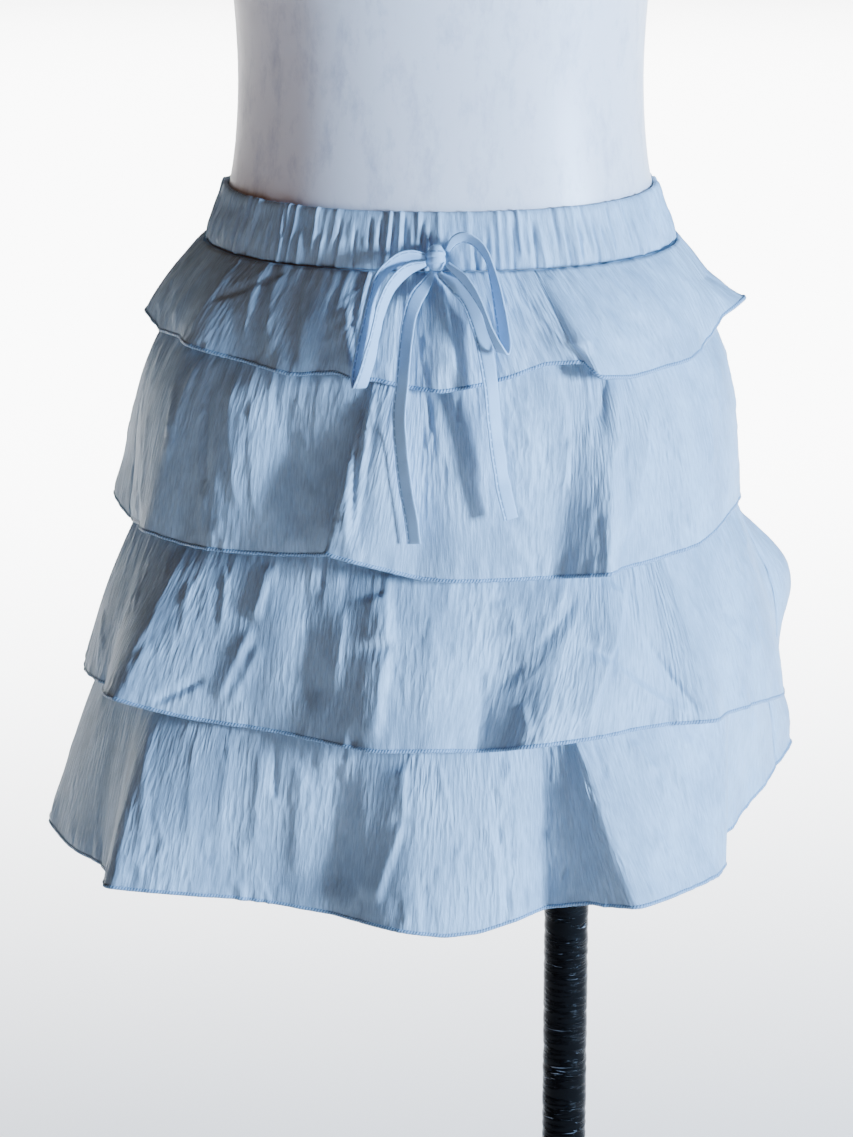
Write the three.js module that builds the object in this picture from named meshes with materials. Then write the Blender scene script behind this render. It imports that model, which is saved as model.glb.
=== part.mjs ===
// A tiered skort worn by a limbless dress form on a one-pole stand. Millimetres, +Z up, the wearer's front
// towards -Y, the origin on the floor under the middle of the form. Levels are heights above (+) or below (-)
// the waistband's top edge. Angles are degrees round the body, 0 at the centre front and +90 at the +X side.
import * as THREE from "three";

const WAIST_HEIGHT = 760; // floor to the waistband's top edge
const CLOTH = 1.2; // wall of a single cloth
const SEAM = 0.3; // gap between pieces that are sewn together
const SQUARENESS = 0.02; // how far the sections bulge past an ellipse between front and side

const WAISTBAND = { height: 31.5, ease: 0.5, wall: 2.6, gathers: 72, gatherDepth: 1.7 };
const SHORTS = { ease: 0.7, crotch: -294, hem: -350, legX: 83, legY: 5, legHalf: 82.85, legTaper: 0.04 };
const BASE_EASE = SHORTS.ease + CLOTH + SEAM; // skirt base outside the shorts
const TIER_EASE = BASE_EASE + CLOTH + 2 * SEAM; // tiers outside the skirt base
const TOP_SEAM = -WAISTBAND.height - SEAM; // the cut tops that hang from the waistband
const BASE_HEM = -272;
const POLE = { x: 76, radius: 13.5, sleeveChamfer: 2 };
const COLLAR = { radius: 22, height: 34 }; // holds the pole on the base
const SOCKET = { radius: 18.5, height: 14 }; // holds the form on the pole
const PLATE = { radius: 190, thickness: 12, chamfer: 3 };

const BODY = "#e4e2ea";
const CLOTH_BLUE = "#b7cfe6";
const TAPE_BLACK = "#17171a";
const BASE_METAL = "#24252a";

// Names the columns of a short table.
const table = (columns, rows) =>
  rows.map((row) => Object.fromEntries(columns.split(" ").map((name, i) => [name, row[i]])));

// The line that the cloth hangs on: half width, and depth to the front and to the back, at each level.
const CLOTH_LINE = table("level half front back", [
  [20, 117, 85, 83],
  [0, 119, 86.5, 85],
  [-31.5, 129.5, 92, 93],
  [-75, 145, 99, 105],
  [-120, 158, 103, 116],
  [-170, 163, 102, 120],
  [-200, 165, 104, 122],
  [-225, 168, 107, 125],
  [-280, 178, 116, 131],
]);

// The form, from the flat underside of its hips to the flat top of its neck.
const FORM = table("level half front back", [
  [-264, 104, 56, 72],
  [-260, 117, 65, 82],
  [-250, 131, 75, 92],
  [-235, 143, 84, 102],
  [-210, 157, 94, 113],
  [-170, 162, 101, 119],
  [-120, 155.5, 101, 113.5],
  [-75, 143.5, 98, 103.5],
  [-31.5, 129.5, 92, 93],
  [0, 119, 86.5, 85],
  [30, 115.5, 84.5, 81.5],
  [60, 114, 83, 80],
  [90, 115, 84, 82],
  [125, 118, 87, 87],
  [170, 125, 95, 91],
  [215, 133, 108, 95],
  [255, 139, 120, 98],
  [295, 141, 115, 100],
  [335, 142, 102, 102],
  [370, 146, 89, 100],
  [395, 150, 77, 91],
  [410, 146, 66, 80],
  [422, 128, 57, 69],
  [434, 100, 50, 60],
  [446, 72, 47, 55],
  [462, 56, 46, 52],
  [480, 51, 46, 50],
  [505, 50, 46, 49],
]);

// Each tier: where it is sewn on, the plain ring its hem hangs in, and how early it spreads (spread under 1
// bells out just below the seam).
const TIERS = {
  tier_1: { seam: TOP_SEAM, hem: -91, half: 158, front: 116, back: 122, spread: 0.9, rows: [0, 0.4, 1] },
  tier_2: { seam: -76, hem: -198, half: 176, front: 124, back: 138, spread: 0.65, rows: [0, 0.2, 0.55, 1] },
  tier_3: { seam: -184, hem: -291, half: 198, front: 142, back: 154, spread: 0.9, rows: [0, 0.2, 0.55, 1] },
  tier_4: { seam: -267, hem: -391, half: 214, front: 162, back: 172, spread: 0.6, rows: [0, 0.2, 0.55, 1] },
};

// The corners of each tier's hem, from the -X side seam round the front to the +X one, then round the back.
// at: degrees at the hem; out: mm outside the plain ring; rise: mm above its level; turn: degrees further
// round where the same cloth is gathered into its seam; from: how far down the tier the fold starts, 0 where
// left out. A corner that steps back is a fold lying over.
const FOLDS = {
  tier_1: table("at out rise turn from", [
    [-90, 11, 17, 0], [-79, 3, 10, 4], [-66, 0, 12, 4], [-54, 12, 14, 3], [-41, 1, 8, 3], [-28.8, 9, 6, 2],
    [-27, 0, 5, 4], [-21, 1, 7, 3], [-16.5, 7, 5, 1], [-13, 1, 4, 1], [-6, 1, 0, 0], [0, 6, -1, -1],
    [8, -1, 1, -3], [14, 2, 6, -4], [21, -2, 11, -6], [28.3, 3, 12, -7], [29.8, 13, 5, -7], [39, 6, 1, -9],
    [49, 2, 2, -8], [57, 6, 4, -7], [67, 1, 8, -6], [79, 4, 18, -4, 0.4], [90, 17, 24, 0, 0.5],
  ]),
  tier_1_back: table("at out rise turn", [
    [103, 2, 10, -2], [118, 7, 4, -2], [129, 0, 3, 0], [141, 8, 4, 3], [149, 0, 2, 2], [163, 6, 2, 0],
    [176, 0, 0, 0], [188, 8, 3, -3], [197, 1, 2, 0], [212, 6, 5, 2], [222, 0, 3, 1], [236, 8, 6, 0],
    [252, 1, 7, 2],
  ]),
  tier_2: table("at out rise turn from", [
    [-90, 3, -1, 0], [-76, 1, 5, 3], [-60, 12, 11, 5], [-52, 5, 8, 4], [-43, 9, 10, 2], [-26.5, -6, 9, 0],
    [-18, 3, 14, 4], [-19.6, 16, 18, 8], [-15, 18, 15, 7], [-4, 4, 2, 1], [2, 7, 1, -1], [10, 3, 0, -2],
    [21, -1, -1, 5, 0.3], [27.3, 25, 6, 5, 0.3], [32, 8, 3, 3], [43, 2, 4, -4], [52, 6, 8, -5],
    [66, 1, 17, -3], [78, -1, 19, -2], [90, -5, 18, 0],
  ]),
  tier_2_back: table("at out rise turn", [
    [102, 0, 9, 0], [113, -1, 5, 2], [127, 10, 6, -4], [134, 0, 4, 0], [152, 9, 3, 0], [166, -2, 0, -2],
    [178, 8, 2, 4], [189, 0, 1, 0], [204, 12, 5, -4], [211, 1, 3, 0], [226, 8, 5, 3], [240, -1, 4, 0],
    [256, 20, 5, -3],
  ]),
  tier_3: table("at out rise turn from", [
    [-90, 11, 0, 0], [-72, 1, 4, 1], [-53, 30, 18, 1], [-49, 21, 14, 1], [-43.5, 9, 9, 1], [-40.5, 3, 7, 1],
    [-33, -4, 5, 1, 0.4], [-25, -6, 3, 1, 0.4], [-10, 13, 3, 0], [-1, 10, 3, 3], [6.2, 0, -1, 7],
    [13, 18, 7, 12], [24, 14, 8, 8], [31, 8, 8, 5], [38, 5, 7, 2], [45, 16, 7, -2], [52, 4, 4, -4], [63, 2, 1, -2],
    [77, 6, -5, 0], [90, 2, -11, 0],
  ]),
  tier_3_back: table("at out rise turn", [
    [100, 5, -2, -2], [110, 1, 3, 0], [124, 11, 8, 4], [137, -2, 5, 0], [148, 12, 6, -5], [155, 1, 2, -1],
    [172, 10, 3, 0], [186, -1, 1, 2], [199, 13, 5, 5], [207, 2, 4, 0], [223, 9, 3, -3], [236, -1, 5, 0],
    [250, 12, 5, 3],
  ]),
  tier_4: table("at out rise turn", [
    [-90, 19, 5, 0], [-78, 8, 2, 1], [-66, 0, 4, -1], [-58, 6, 6, -2], [-48.5, 34, 15, -3],
    [-42.4, 15, 12, 0], [-35, -6, 8, 1], [-28, -16, 5, 2], [-17.5, -16, 2, 3], [-6, 5, 2, 3], [0.5, 2, -2, 1],
    [5.8, -3, -2, 0], [12.5, -9, 3, 0], [17.3, -18, 5, 0], [22, -2, 12, -2], [26.8, 25, 17, -6],
    [35.7, 14, 17, -4], [45, 4, 17, -4], [49.5, -4, 18, 7], [57, -34, 10, 7], [74, -30, 26, 0],
    [90, -14, 40, 0],
  ]),
  tier_4_back: table("at out rise turn", [
    [100, 1, 45, 0], [109, -8, 24, 0], [122, 9, 12, 4], [134, -3, 9, 0], [149, 13, 10, -4], [156, 0, 5, 0],
    [172, 11, 6, 0], [187, -2, 2, 0], [202, 15, 6, 4], [210, 1, 5, 0], [225, 10, 6, -3], [239, -2, 3, 0],
    [253, 13, 6, 2],
  ]),
};

// Places where a tier bellies out above its hem: degrees, share of the way down, mm, and half width and height.
const PUFFS = table("tier at down out wide tall", [
  ["tier_3", 99, 0.5, 17, 14, 0.4],
  ["tier_4", 99, 0.55, 4, 12, 0.4],
]);
const CORNER_REACH = 0.2; // how far the rounding of a hem corner runs towards the next corner
const TIER_COLUMN = 6; // widest column of a tier, in degrees
const FOLD_GROWTH = 1; // folds deepen evenly with the distance from the seam
const TIER_GATHER = { depth: 0.9, reach: 0.45 }; // pinched cloth under the waistband

// The tie: a knot on the waistband and four lengths of flat strip, as they lie over the front.
const TIE = { width: 8.4, thickness: 1.5, step: 4.5, pinched: 0.35, pinchLength: 14 };
const KNOT = table("level halfWidth halfDepth", [
  [-15.4, 3.2, 3.4],
  [-18.4, 4.9, 5.4],
  [-26.4, 4.9, 5.4],
  [-29.4, 3.4, 3.8],
]);
const KNOT_CENTRE = { x: -2.9, y: -101.1 };
const TIE_PATHS = {
  tie_loop_left: table("x y level", [
    [-8.6, -101.5, -21.5], [-17, -104, -20.4], [-26, -107, -24], [-33, -109, -30.7], [-37, -112, -41],
    [-40.7, -118, -58], [-44, -122.6, -75], [-45.2, -124.8, -85.5], [-44.6, -126.7, -88.6],
    [-43.2, -128.6, -85.5], [-39.5, -128.8, -74], [-35.8, -125.5, -59.6], [-32, -121, -44.8],
    [-26.5, -116, -34], [-18, -110, -27], [-8.6, -106.3, -24.5],
  ]),
  tie_loop_right: table("x y level", [
    [3.4, -101.5, -18.6], [7.4, -102.5, -12.8], [12.5, -104, -10.7], [18.7, -105, -13.2], [24.7, -108, -20.5],
    [28.5, -111, -32.5], [31.1, -116, -45], [33.2, -121.6, -57.3], [34, -124.4, -66], [33, -126.5, -69.3],
    [31, -128.3, -66], [26.5, -126.8, -57], [21.9, -122, -45.4], [13.8, -115, -33.3], [3.2, -106.3, -25],
  ]),
  tie_tail_left: table("x y level", [
    [-4.7, -100, -29.9], [-5.4, -100.6, -32], [-8.6, -104, -36.5], [-13.7, -110, -43], [-17.5, -115, -53.5],
    [-19.6, -121, -69], [-21.2, -126.5, -86], [-22.9, -127.5, -104], [-21.8, -129, -123], [-19.7, -131, -142],
    [-16.4, -133, -161], [-14.8, -134, -174.6],
  ]),
  tie_tail_right: table("x y level", [
    [-1.1, -102.6, -29.9], [-0.4, -103.2, -31.6], [6, -107.4, -35.5], [13.5, -111.5, -42.2],
    [19.8, -116.5, -55.8], [24, -122, -71], [26.9, -127.5, -89], [28.6, -129, -108.7], [30.8, -131, -125],
    [34, -133, -144], [38, -134, -160.4],
  ]),
};

const radians = THREE.MathUtils.degToRad;
const group = new THREE.Group();

function addPiece(name, geometry, colour, roughness, metalness = 0) {
  const material = new THREE.MeshStandardMaterial({ color: colour, roughness, metalness });
  const mesh = new THREE.Mesh(geometry, material);
  mesh.name = name;
  group.add(mesh);
}

// Smooth reading of a table of sections at any level.
function sectionAt(rows, level) {
  const sorted = [...rows].sort((a, b) => a.level - b.level);
  const last = sorted.length - 1;
  const z = THREE.MathUtils.clamp(level, sorted[0].level, sorted[last].level);
  const i = Math.min(Math.max(sorted.findLastIndex((row) => row.level <= z), 0), last - 1);
  const span = sorted[i + 1].level - sorted[i].level;
  const u = (z - sorted[i].level) / span;
  const slope = (k, key) => {
    const low = Math.max(k - 1, 0);
    const high = Math.min(k + 1, last);
    return (sorted[high][key] - sorted[low][key]) / (sorted[high].level - sorted[low].level);
  };
  const read = (key) =>
    (2 * u ** 3 - 3 * u ** 2 + 1) * sorted[i][key] +
    (u ** 3 - 2 * u ** 2 + u) * span * slope(i, key) +
    (3 * u ** 2 - 2 * u ** 3) * sorted[i + 1][key] +
    (u ** 3 - u ** 2) * span * slope(i + 1, key);
  return { half: read("half"), front: read("front"), back: read("back") };
}

// A point of a body section, `out` mm outside it.
function ringPoint(section, degrees, out, level) {
  const sine = Math.sin(radians(degrees));
  const cosine = Math.cos(radians(degrees));
  const bulge = 1 + (SQUARENESS * (1 - Math.cos(radians(4 * degrees)))) / 2;
  const depth = cosine > 0 ? section.front : section.back;
  const x = bulge * (section.half + out) * sine;
  const y = -bulge * (depth + out) * cosine;
  return new THREE.Vector3(x, y, WAIST_HEIGHT + level);
}

const clothPoint = (degrees, out, level) => ringPoint(sectionAt(CLOTH_LINE, level), degrees, out, level);

const spaced = (from, to, steps) =>
  Array.from({ length: steps + 1 }, (_, i) => from + ((to - from) * i) / steps);

// Writes a solid's triangles from rings of points; each ring is a closed loop with the same count.
class SolidWriter {
  constructor() {
    this.positions = [];
  }
  triangle(a, b, c) {
    this.positions.push(...a.toArray(), ...b.toArray(), ...c.toArray());
  }
  quad(a, b, c, d) {
    this.triangle(a, b, c);
    this.triangle(a, c, d);
  }
  finish() {
    const geometry = new THREE.BufferGeometry();
    geometry.setAttribute("position", new THREE.Float32BufferAttribute(this.positions, 3));
    geometry.computeVertexNormals();
    return geometry;
  }
}

// A panel of cloth. point(place, row) gives its outer face; places run round the body and rows down it. The
// inner face lies a wall's thickness behind, along the surface's own normals, narrow edges close the four
// sides, and both ends stop half a seam's gap short of their place. `step` reaches past the ends for normals.
function clothPanel(places, rows, point, step) {
  const line = (place) => spaced(0, rows - 1, rows - 1).map((row) => point(place, row));
  const first = places[0];
  const last = places[places.length - 1];
  const lines = [line(first - step), ...places.map(line), line(last + step)];
  const outer = [];
  const inner = [];
  for (let c = 1; c < lines.length - 1; c++) {
    const end = c === 1 ? 1 : c === lines.length - 2 ? -1 : 0;
    const outerLine = [];
    const innerLine = [];
    for (let r = 0; r < rows; r++) {
      const across = lines[c + 1][r].clone().sub(lines[c - 1][r]).normalize();
      const down = lines[c][Math.min(r + 1, rows - 1)].clone().sub(lines[c][Math.max(r - 1, 0)]);
      const shifted = lines[c][r].clone().addScaledVector(across, (end * SEAM) / 2);
      const inward = across.clone().cross(down).normalize();
      outerLine.push(shifted);
      innerLine.push(shifted.clone().addScaledVector(inward, CLOTH));
    }
    outer.push(outerLine);
    inner.push(innerLine);
  }
  const solid = new SolidWriter();
  const end = outer.length - 1;
  const hem = rows - 1;
  for (let c = 0; c < end; c++) {
    for (let r = 0; r < hem; r++) {
      solid.quad(outer[c][r], outer[c][r + 1], outer[c + 1][r + 1], outer[c + 1][r]);
      solid.quad(inner[c][r], inner[c + 1][r], inner[c + 1][r + 1], inner[c][r + 1]);
    }
    solid.quad(outer[c][0], outer[c + 1][0], inner[c + 1][0], inner[c][0]);
    solid.quad(outer[c][hem], inner[c][hem], inner[c + 1][hem], outer[c + 1][hem]);
  }
  for (let r = 0; r < hem; r++) {
    solid.quad(outer[0][r], inner[0][r], inner[0][r + 1], outer[0][r + 1]);
    solid.quad(outer[end][r], outer[end][r + 1], inner[end][r + 1], inner[end][r]);
  }
  return solid.finish();
}

// A solid through stacked closed loops, with flat ends, or joined round into a ring.
function loft(loops, closedRing = false) {
  const solid = new SolidWriter();
  const count = loops[0].length;
  const stretches = closedRing ? loops.length : loops.length - 1;
  for (let l = 0; l < stretches; l++) {
    const here = loops[l];
    const next = loops[(l + 1) % loops.length];
    for (let k = 0; k < count; k++) {
      const side = (k + 1) % count;
      solid.quad(here[k], here[side], next[side], next[k]);
    }
  }
  if (!closedRing) {
    const capEnd = (loop, flip) => {
      const middle = loop.reduce((sum, p) => sum.add(p), new THREE.Vector3()).divideScalar(count);
      for (let k = 0; k < count; k++) {
        const side = (k + 1) % count;
        if (flip) solid.triangle(middle, loop[side], loop[k]);
        else solid.triangle(middle, loop[k], loop[side]);
      }
    };
    capEnd(loops[0], true);
    capEnd(loops[loops.length - 1], false);
  }
  return solid.finish();
}

// One value of a hem table that runs all round, at a place between its corners, with each corner rounded.
function readFold(folds, place, key) {
  const count = folds.length;
  const value = (k) => {
    const laps = key === "at" ? Math.floor(k / count) : 0;
    return (folds[THREE.MathUtils.euclideanModulo(k, count)][key] ?? 0) + 360 * laps;
  };
  const corner = Math.round(place);
  const off = place - corner;
  if (Math.abs(off) >= CORNER_REACH) {
    const k = Math.floor(place);
    return value(k) + (value(k + 1) - value(k)) * (place - k);
  }
  const ahead = (value(corner + 1) - value(corner)) * (off + CORNER_REACH) ** 2;
  const behind = (value(corner) - value(corner - 1)) * (off - CORNER_REACH) ** 2;
  return value(corner) + (ahead - behind) / (4 * CORNER_REACH);
}

const bump = (distance) => Math.max(0, 1 - distance ** 2) ** 2;
const puffAt = (name, degrees, t) =>
  PUFFS.filter((puff) => puff.tier === name).reduce(
    (sum, puff) => sum + puff.out * bump((degrees - puff.at) / puff.wide) * bump((t - puff.down) / puff.tall),
    0
  );

// A point of a tier: place counts the hem's corners, t runs from the seam (0) to the hem (1).
function tierPoint(name, folds, place, t, gather) {
  const tier = TIERS[name];
  const from = readFold(folds, place, "from");
  const grown = Math.max(0, (t - from) / (1 - from)) ** FOLD_GROWTH;
  const degrees = readFold(folds, place, "at") + readFold(folds, place, "turn") * (1 - t);
  const out = readFold(folds, place, "out") * grown + gather + puffAt(name, degrees, t);
  const plain = tier.seam + (tier.hem - tier.seam) * t;
  const line = sectionAt(CLOTH_LINE, plain);
  const widened = (key) => {
    const start = line[key] + TIER_EASE + CLOTH;
    return start + (tier[key] - start) * t ** tier.spread;
  };
  const section = { half: widened("half"), front: widened("front"), back: widened("back") };
  return ringPoint(section, degrees, out, plain + readFold(folds, place, "rise") * t ** 2);
}

function tierPanel(name, side) {
  const tier = TIERS[name];
  const folds = [...FOLDS[name], ...FOLDS[name + "_back"]];
  const sideSeam = FOLDS[name].length - 1;
  const [from, to] = side === "front" ? [0, sideSeam] : [sideSeam, folds.length];
  const places = [from];
  for (let corner = from; corner < to; corner++) {
    if (corner > from) places.push(corner);
    places.push(corner + CORNER_REACH);
    const width = Math.abs(readFold(folds, corner + 1, "at") - readFold(folds, corner, "at"));
    const plainStart = corner + CORNER_REACH;
    const plainEnd = corner + 1 - CORNER_REACH;
    const parts = Math.max(1, Math.ceil((width * (plainEnd - plainStart)) / TIER_COLUMN));
    places.push(...spaced(plainStart, plainEnd, parts).slice(1));
  }
  places.push(to);
  const pinch = (t) => (name === "tier_1" ? TIER_GATHER.depth * Math.max(0, 1 - t / TIER_GATHER.reach) : 0);
  const point = (place, row) => {
    const t = tier.rows[row];
    return tierPoint(name, folds, place, t, places.indexOf(place) % 2 === 1 ? pinch(t) : 0);
  };
  return clothPanel(places, tier.rows.length, point, CORNER_REACH);
}

// Uneven but repeatable numbers from 0 to 1 for gathers.
const uneven = (k) => (Math.sin(k * 12.9898) * 43758.5453) % 1;

function waistband() {
  const gap = SEAM / 2;
  const loops = spaced(0, WAISTBAND.gathers * 2 - 1, WAISTBAND.gathers * 2 - 1).map((k) => {
    const sway = 0.35 * uneven(k);
    const degrees = ((k + sway) * 180) / WAISTBAND.gathers;
    const crest = k % 2 ? WAISTBAND.gatherDepth * (0.65 + 0.35 * Math.abs(uneven(k + 0.5))) : 0;
    const bottom = -WAISTBAND.height;
    const face = WAISTBAND.ease + WAISTBAND.wall;
    return [
      clothPoint(degrees, WAISTBAND.ease, bottom),
      clothPoint(degrees, WAISTBAND.ease, -gap),
      clothPoint(degrees, face - 0.6 + crest * 0.4, 0),
      clothPoint(degrees, face + crest * 0.8, -3.5),
      clothPoint(degrees, face + 0.7 + crest, bottom * 0.5),
      clothPoint(degrees, face + 0.2 + crest, bottom + 3),
      clothPoint(degrees, face - 0.4 + crest * 0.6, bottom),
    ];
  });
  return loft(loops, true);
}

function basePanel(side) {
  const levels = [TOP_SEAM, -75, -120, -170, -220, BASE_HEM];
  const start = side === "front" ? -90 : 90;
  const point = (degrees, row) => clothPoint(degrees, BASE_EASE + CLOTH, levels[row]);
  return clothPanel(spaced(start, start + 180, 34), levels.length, point, 5);
}

// One leg and half the seat, cut as one piece that wraps the body from the centre front round the side to
// the centre back and, below the crotch, closes on itself at the inseam.
const SHORTS_ROWS = table("level leg", [
  [TOP_SEAM, 0],
  [-75, 0],
  [-120, 0],
  [-170, 0],
  [-225, 0],
  [-260, 0.2],
  [-276, 0.5],
  [-287, 0.8],
  [SHORTS.crotch, 1],
  [-322, 1],
  [SHORTS.hem, 1],
]);
const HIP_LEVEL = -170; // below this the shorts keep the hips' width, as the form's legs would

function shortsPanel(side) {
  const mirror = side === "left" ? -1 : 1;
  const point = (turned, row) => {
    const { level, leg } = SHORTS_ROWS[row];
    const share = mirror * turned; // 0 at the centre front, 1 at the centre back
    const hips = sectionAt(CLOTH_LINE, Math.max(level, HIP_LEVEL));
    const body = ringPoint(hips, 180 * share, SHORTS.ease + CLOTH, level);
    const half = SHORTS.legHalf - Math.max(0, SHORTS.crotch - level) * SHORTS.legTaper;
    const turn = radians(360 * share - 180);
    const ring = new THREE.Vector3(
      SHORTS.legX + half * Math.cos(turn),
      SHORTS.legY + half * Math.sin(turn),
      WAIST_HEIGHT + level
    );
    const placed = body.lerp(ring, leg);
    placed.x *= mirror;
    return placed;
  };
  const places = side === "left" ? spaced(-1, 0, 18) : spaced(0, 1, 18);
  return clothPanel(places, SHORTS_ROWS.length, point, 0.05);
}

function formTorso() {
  const columns = 32;
  const loops = FORM.map((section) =>
    spaced(0, 360, columns)
      .slice(0, columns)
      .map((degrees) => ringPoint(section, degrees, 0, section.level))
  );
  return loft(loops);
}

// A flat strip along a hand-laid path. Its flat side starts towards the front and turns only where the path
// bends, so a loop folds over at its end. It is drawn narrow where the knot grips it: both ends of a loop and
// the upper end of a tail.
function strip(path, isLoop) {
  const curve = new THREE.CatmullRomCurve3(
    path.map(({ x, y, level }) => new THREE.Vector3(x, y, WAIST_HEIGHT + level)),
    false,
    "centripetal"
  );
  const length = curve.getLength();
  const across = curve.getTangentAt(0).cross(new THREE.Vector3(0, -1, 0));
  const loops = spaced(0, 1, Math.round(length / TIE.step)).map((u) => {
    const middle = curve.getPointAt(u);
    const along = curve.getTangentAt(u);
    across.addScaledVector(along, -across.dot(along)).normalize();
    const facing = across.clone().cross(along);
    const fromKnot = length * (isLoop ? Math.min(u, 1 - u) : u);
    const width = TIE.width * Math.min(1, TIE.pinched + ((1 - TIE.pinched) * fromKnot) / TIE.pinchLength);
    const corner = (w, d) =>
      middle
        .clone()
        .addScaledVector(across, (w * width) / 2)
        .addScaledVector(facing, (d * TIE.thickness) / 2);
    return [corner(-1, -1), corner(-1, 1), corner(1, 1), corner(1, -1)];
  });
  return loft(loops);
}

function knot() {
  const loops = [...KNOT].reverse().map(({ level, halfWidth, halfDepth }) =>
    spaced(0, 315, 7).map((degrees) => {
      const x = KNOT_CENTRE.x + halfWidth * Math.cos(radians(degrees));
      const y = KNOT_CENTRE.y + halfDepth * Math.sin(radians(degrees));
      return new THREE.Vector3(x, y, WAIST_HEIGHT + level);
    })
  );
  return loft(loops);
}

function cylinder(radius, height, sides, baseZ, chamfer = 0) {
  const profile = [[0, 0], [radius, 0], [radius, height - chamfer]];
  if (chamfer) profile.push([radius - chamfer, height]);
  profile.push([0, height]);
  const geometry = new THREE.LatheGeometry(profile.map(([r, z]) => new THREE.Vector2(r, z)), sides);
  geometry.rotateX(Math.PI / 2);
  geometry.translate(0, 0, baseZ);
  return geometry;
}

// A collar with the pole through it, clear of the pole by a seam's gap.
function sleeve(outerRadius, height, sides, baseZ) {
  const bore = POLE.radius + SEAM;
  const rim = outerRadius - POLE.sleeveChamfer;
  const shoulder = height - POLE.sleeveChamfer;
  const outside = [[outerRadius, 0], [outerRadius, shoulder], [rim, height]];
  const profile = [[bore, 0], ...outside, [bore, height], [bore, 0]];
  const geometry = new THREE.LatheGeometry(profile.map(([r, z]) => new THREE.Vector2(r, z)), sides);
  geometry.rotateX(Math.PI / 2);
  geometry.translate(POLE.x, 0, baseZ);
  return geometry;
}

const formBottom = WAIST_HEIGHT + FORM[0].level;
const plateTop = PLATE.thickness + SEAM;
const socketBase = formBottom - SEAM - SOCKET.height;
const pole = cylinder(POLE.radius, formBottom - SEAM - plateTop, 20, plateTop);
pole.translate(POLE.x, 0, 0);

addPiece("stand_base", cylinder(PLATE.radius, PLATE.thickness, 48, 0, PLATE.chamfer), BASE_METAL, 0.4, 0.7);
addPiece("stand_collar", sleeve(COLLAR.radius, COLLAR.height, 20, plateTop), BASE_METAL, 0.4, 0.7);
addPiece("stand_pole", pole, TAPE_BLACK, 0.35);
addPiece("form_socket", sleeve(SOCKET.radius, SOCKET.height, 20, socketBase), TAPE_BLACK, 0.4);
addPiece("form_torso", formTorso(), BODY, 0.45);
for (const name of Object.keys(TIERS)) {
  addPiece(`${name}_front`, tierPanel(name, "front"), CLOTH_BLUE, 0.85);
  addPiece(`${name}_back`, tierPanel(name, "back"), CLOTH_BLUE, 0.85);
}
addPiece("waistband", waistband(), CLOTH_BLUE, 0.85);
addPiece("skirt_base_front", basePanel("front"), CLOTH_BLUE, 0.85);
addPiece("skirt_base_back", basePanel("back"), CLOTH_BLUE, 0.85);
addPiece("shorts_left", shortsPanel("left"), CLOTH_BLUE, 0.85);
addPiece("shorts_right", shortsPanel("right"), CLOTH_BLUE, 0.85);
addPiece("tie_knot", knot(), CLOTH_BLUE, 0.85);
for (const [name, path] of Object.entries(TIE_PATHS)) {
  addPiece(name, strip(path, name.startsWith("tie_loop")), CLOTH_BLUE, 0.85);
}

export default group;
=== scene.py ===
# %% [markdown]
# # A tiered skort on a dress form
# The real thing is light crinkled cloth: a gathered elastic waistband, four frills sewn one below the
# other, a pair of shorts hidden inside and a thin bow in front. A limbless form on a taped pole wears it.
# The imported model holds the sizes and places. This script loads it and dresses each part in its real
# surface.

import math

import bpy
import numpy as np
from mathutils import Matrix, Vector


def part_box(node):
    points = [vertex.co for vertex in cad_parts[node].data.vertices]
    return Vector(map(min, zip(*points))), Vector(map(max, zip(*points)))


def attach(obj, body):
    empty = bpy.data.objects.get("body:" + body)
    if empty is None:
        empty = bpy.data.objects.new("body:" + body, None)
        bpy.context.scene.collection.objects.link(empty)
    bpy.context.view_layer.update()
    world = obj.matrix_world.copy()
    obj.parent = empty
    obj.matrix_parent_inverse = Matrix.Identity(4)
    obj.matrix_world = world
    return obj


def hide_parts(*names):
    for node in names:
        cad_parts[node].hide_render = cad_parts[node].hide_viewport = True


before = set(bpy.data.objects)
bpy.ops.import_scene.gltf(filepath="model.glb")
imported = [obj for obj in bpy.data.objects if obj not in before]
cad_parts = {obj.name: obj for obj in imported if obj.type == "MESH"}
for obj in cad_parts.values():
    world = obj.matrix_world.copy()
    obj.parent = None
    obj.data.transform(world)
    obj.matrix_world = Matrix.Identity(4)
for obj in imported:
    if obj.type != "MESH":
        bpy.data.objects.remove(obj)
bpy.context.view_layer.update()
MM = 0.001
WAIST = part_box("waistband")[1][2]  # the waistband's top edge; levels below are measured from it
print("nodes:", len(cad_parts), "waist height:", round(WAIST, 3))

# %% [markdown]
# ## Camera
# The view is from just above the waist and looks down a little, from about two metres away, through a long
# lens. The frame is upright, 853 by 1137, so the sensor's 36 mm lie along its height. Knowing the lens and
# the distance is what makes rings at one height look curved in the right amount, so this comes before any
# shape.

# %% Camera
FRAME_WIDTH, FRAME_HEIGHT = 853, 1137  # px
SENSOR = 36  # mm, along the frame's height
CAMERA_ASIDE = -8 * MM
CAMERA_BACK = 2.1
CAMERA_ABOVE_WAIST = 0.42
CAMERA_PITCH = 17.2
LENS = 119.2
camera_data = bpy.data.cameras.new("camera")
camera_data.lens = LENS
camera_data.sensor_width = SENSOR
camera_data.clip_end = 60
camera = bpy.data.objects.new("camera", camera_data)
camera.location = (CAMERA_ASIDE, -CAMERA_BACK, WAIST + CAMERA_ABOVE_WAIST)
camera.rotation_euler = (math.radians(90 - CAMERA_PITCH), 0, 0)
bpy.context.scene.collection.objects.link(camera)
bpy.context.scene.camera = camera
print("camera at", [round(v, 3) for v in camera.location])

# %% [markdown]
# ## Helpers for tables and sections
# A garment's shape is easiest to keep as a few sections of the body and a list of fold corners. These
# helpers read such tables smoothly at any place, for whole arrays of points at once, which keeps fine
# meshes quick.

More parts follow.
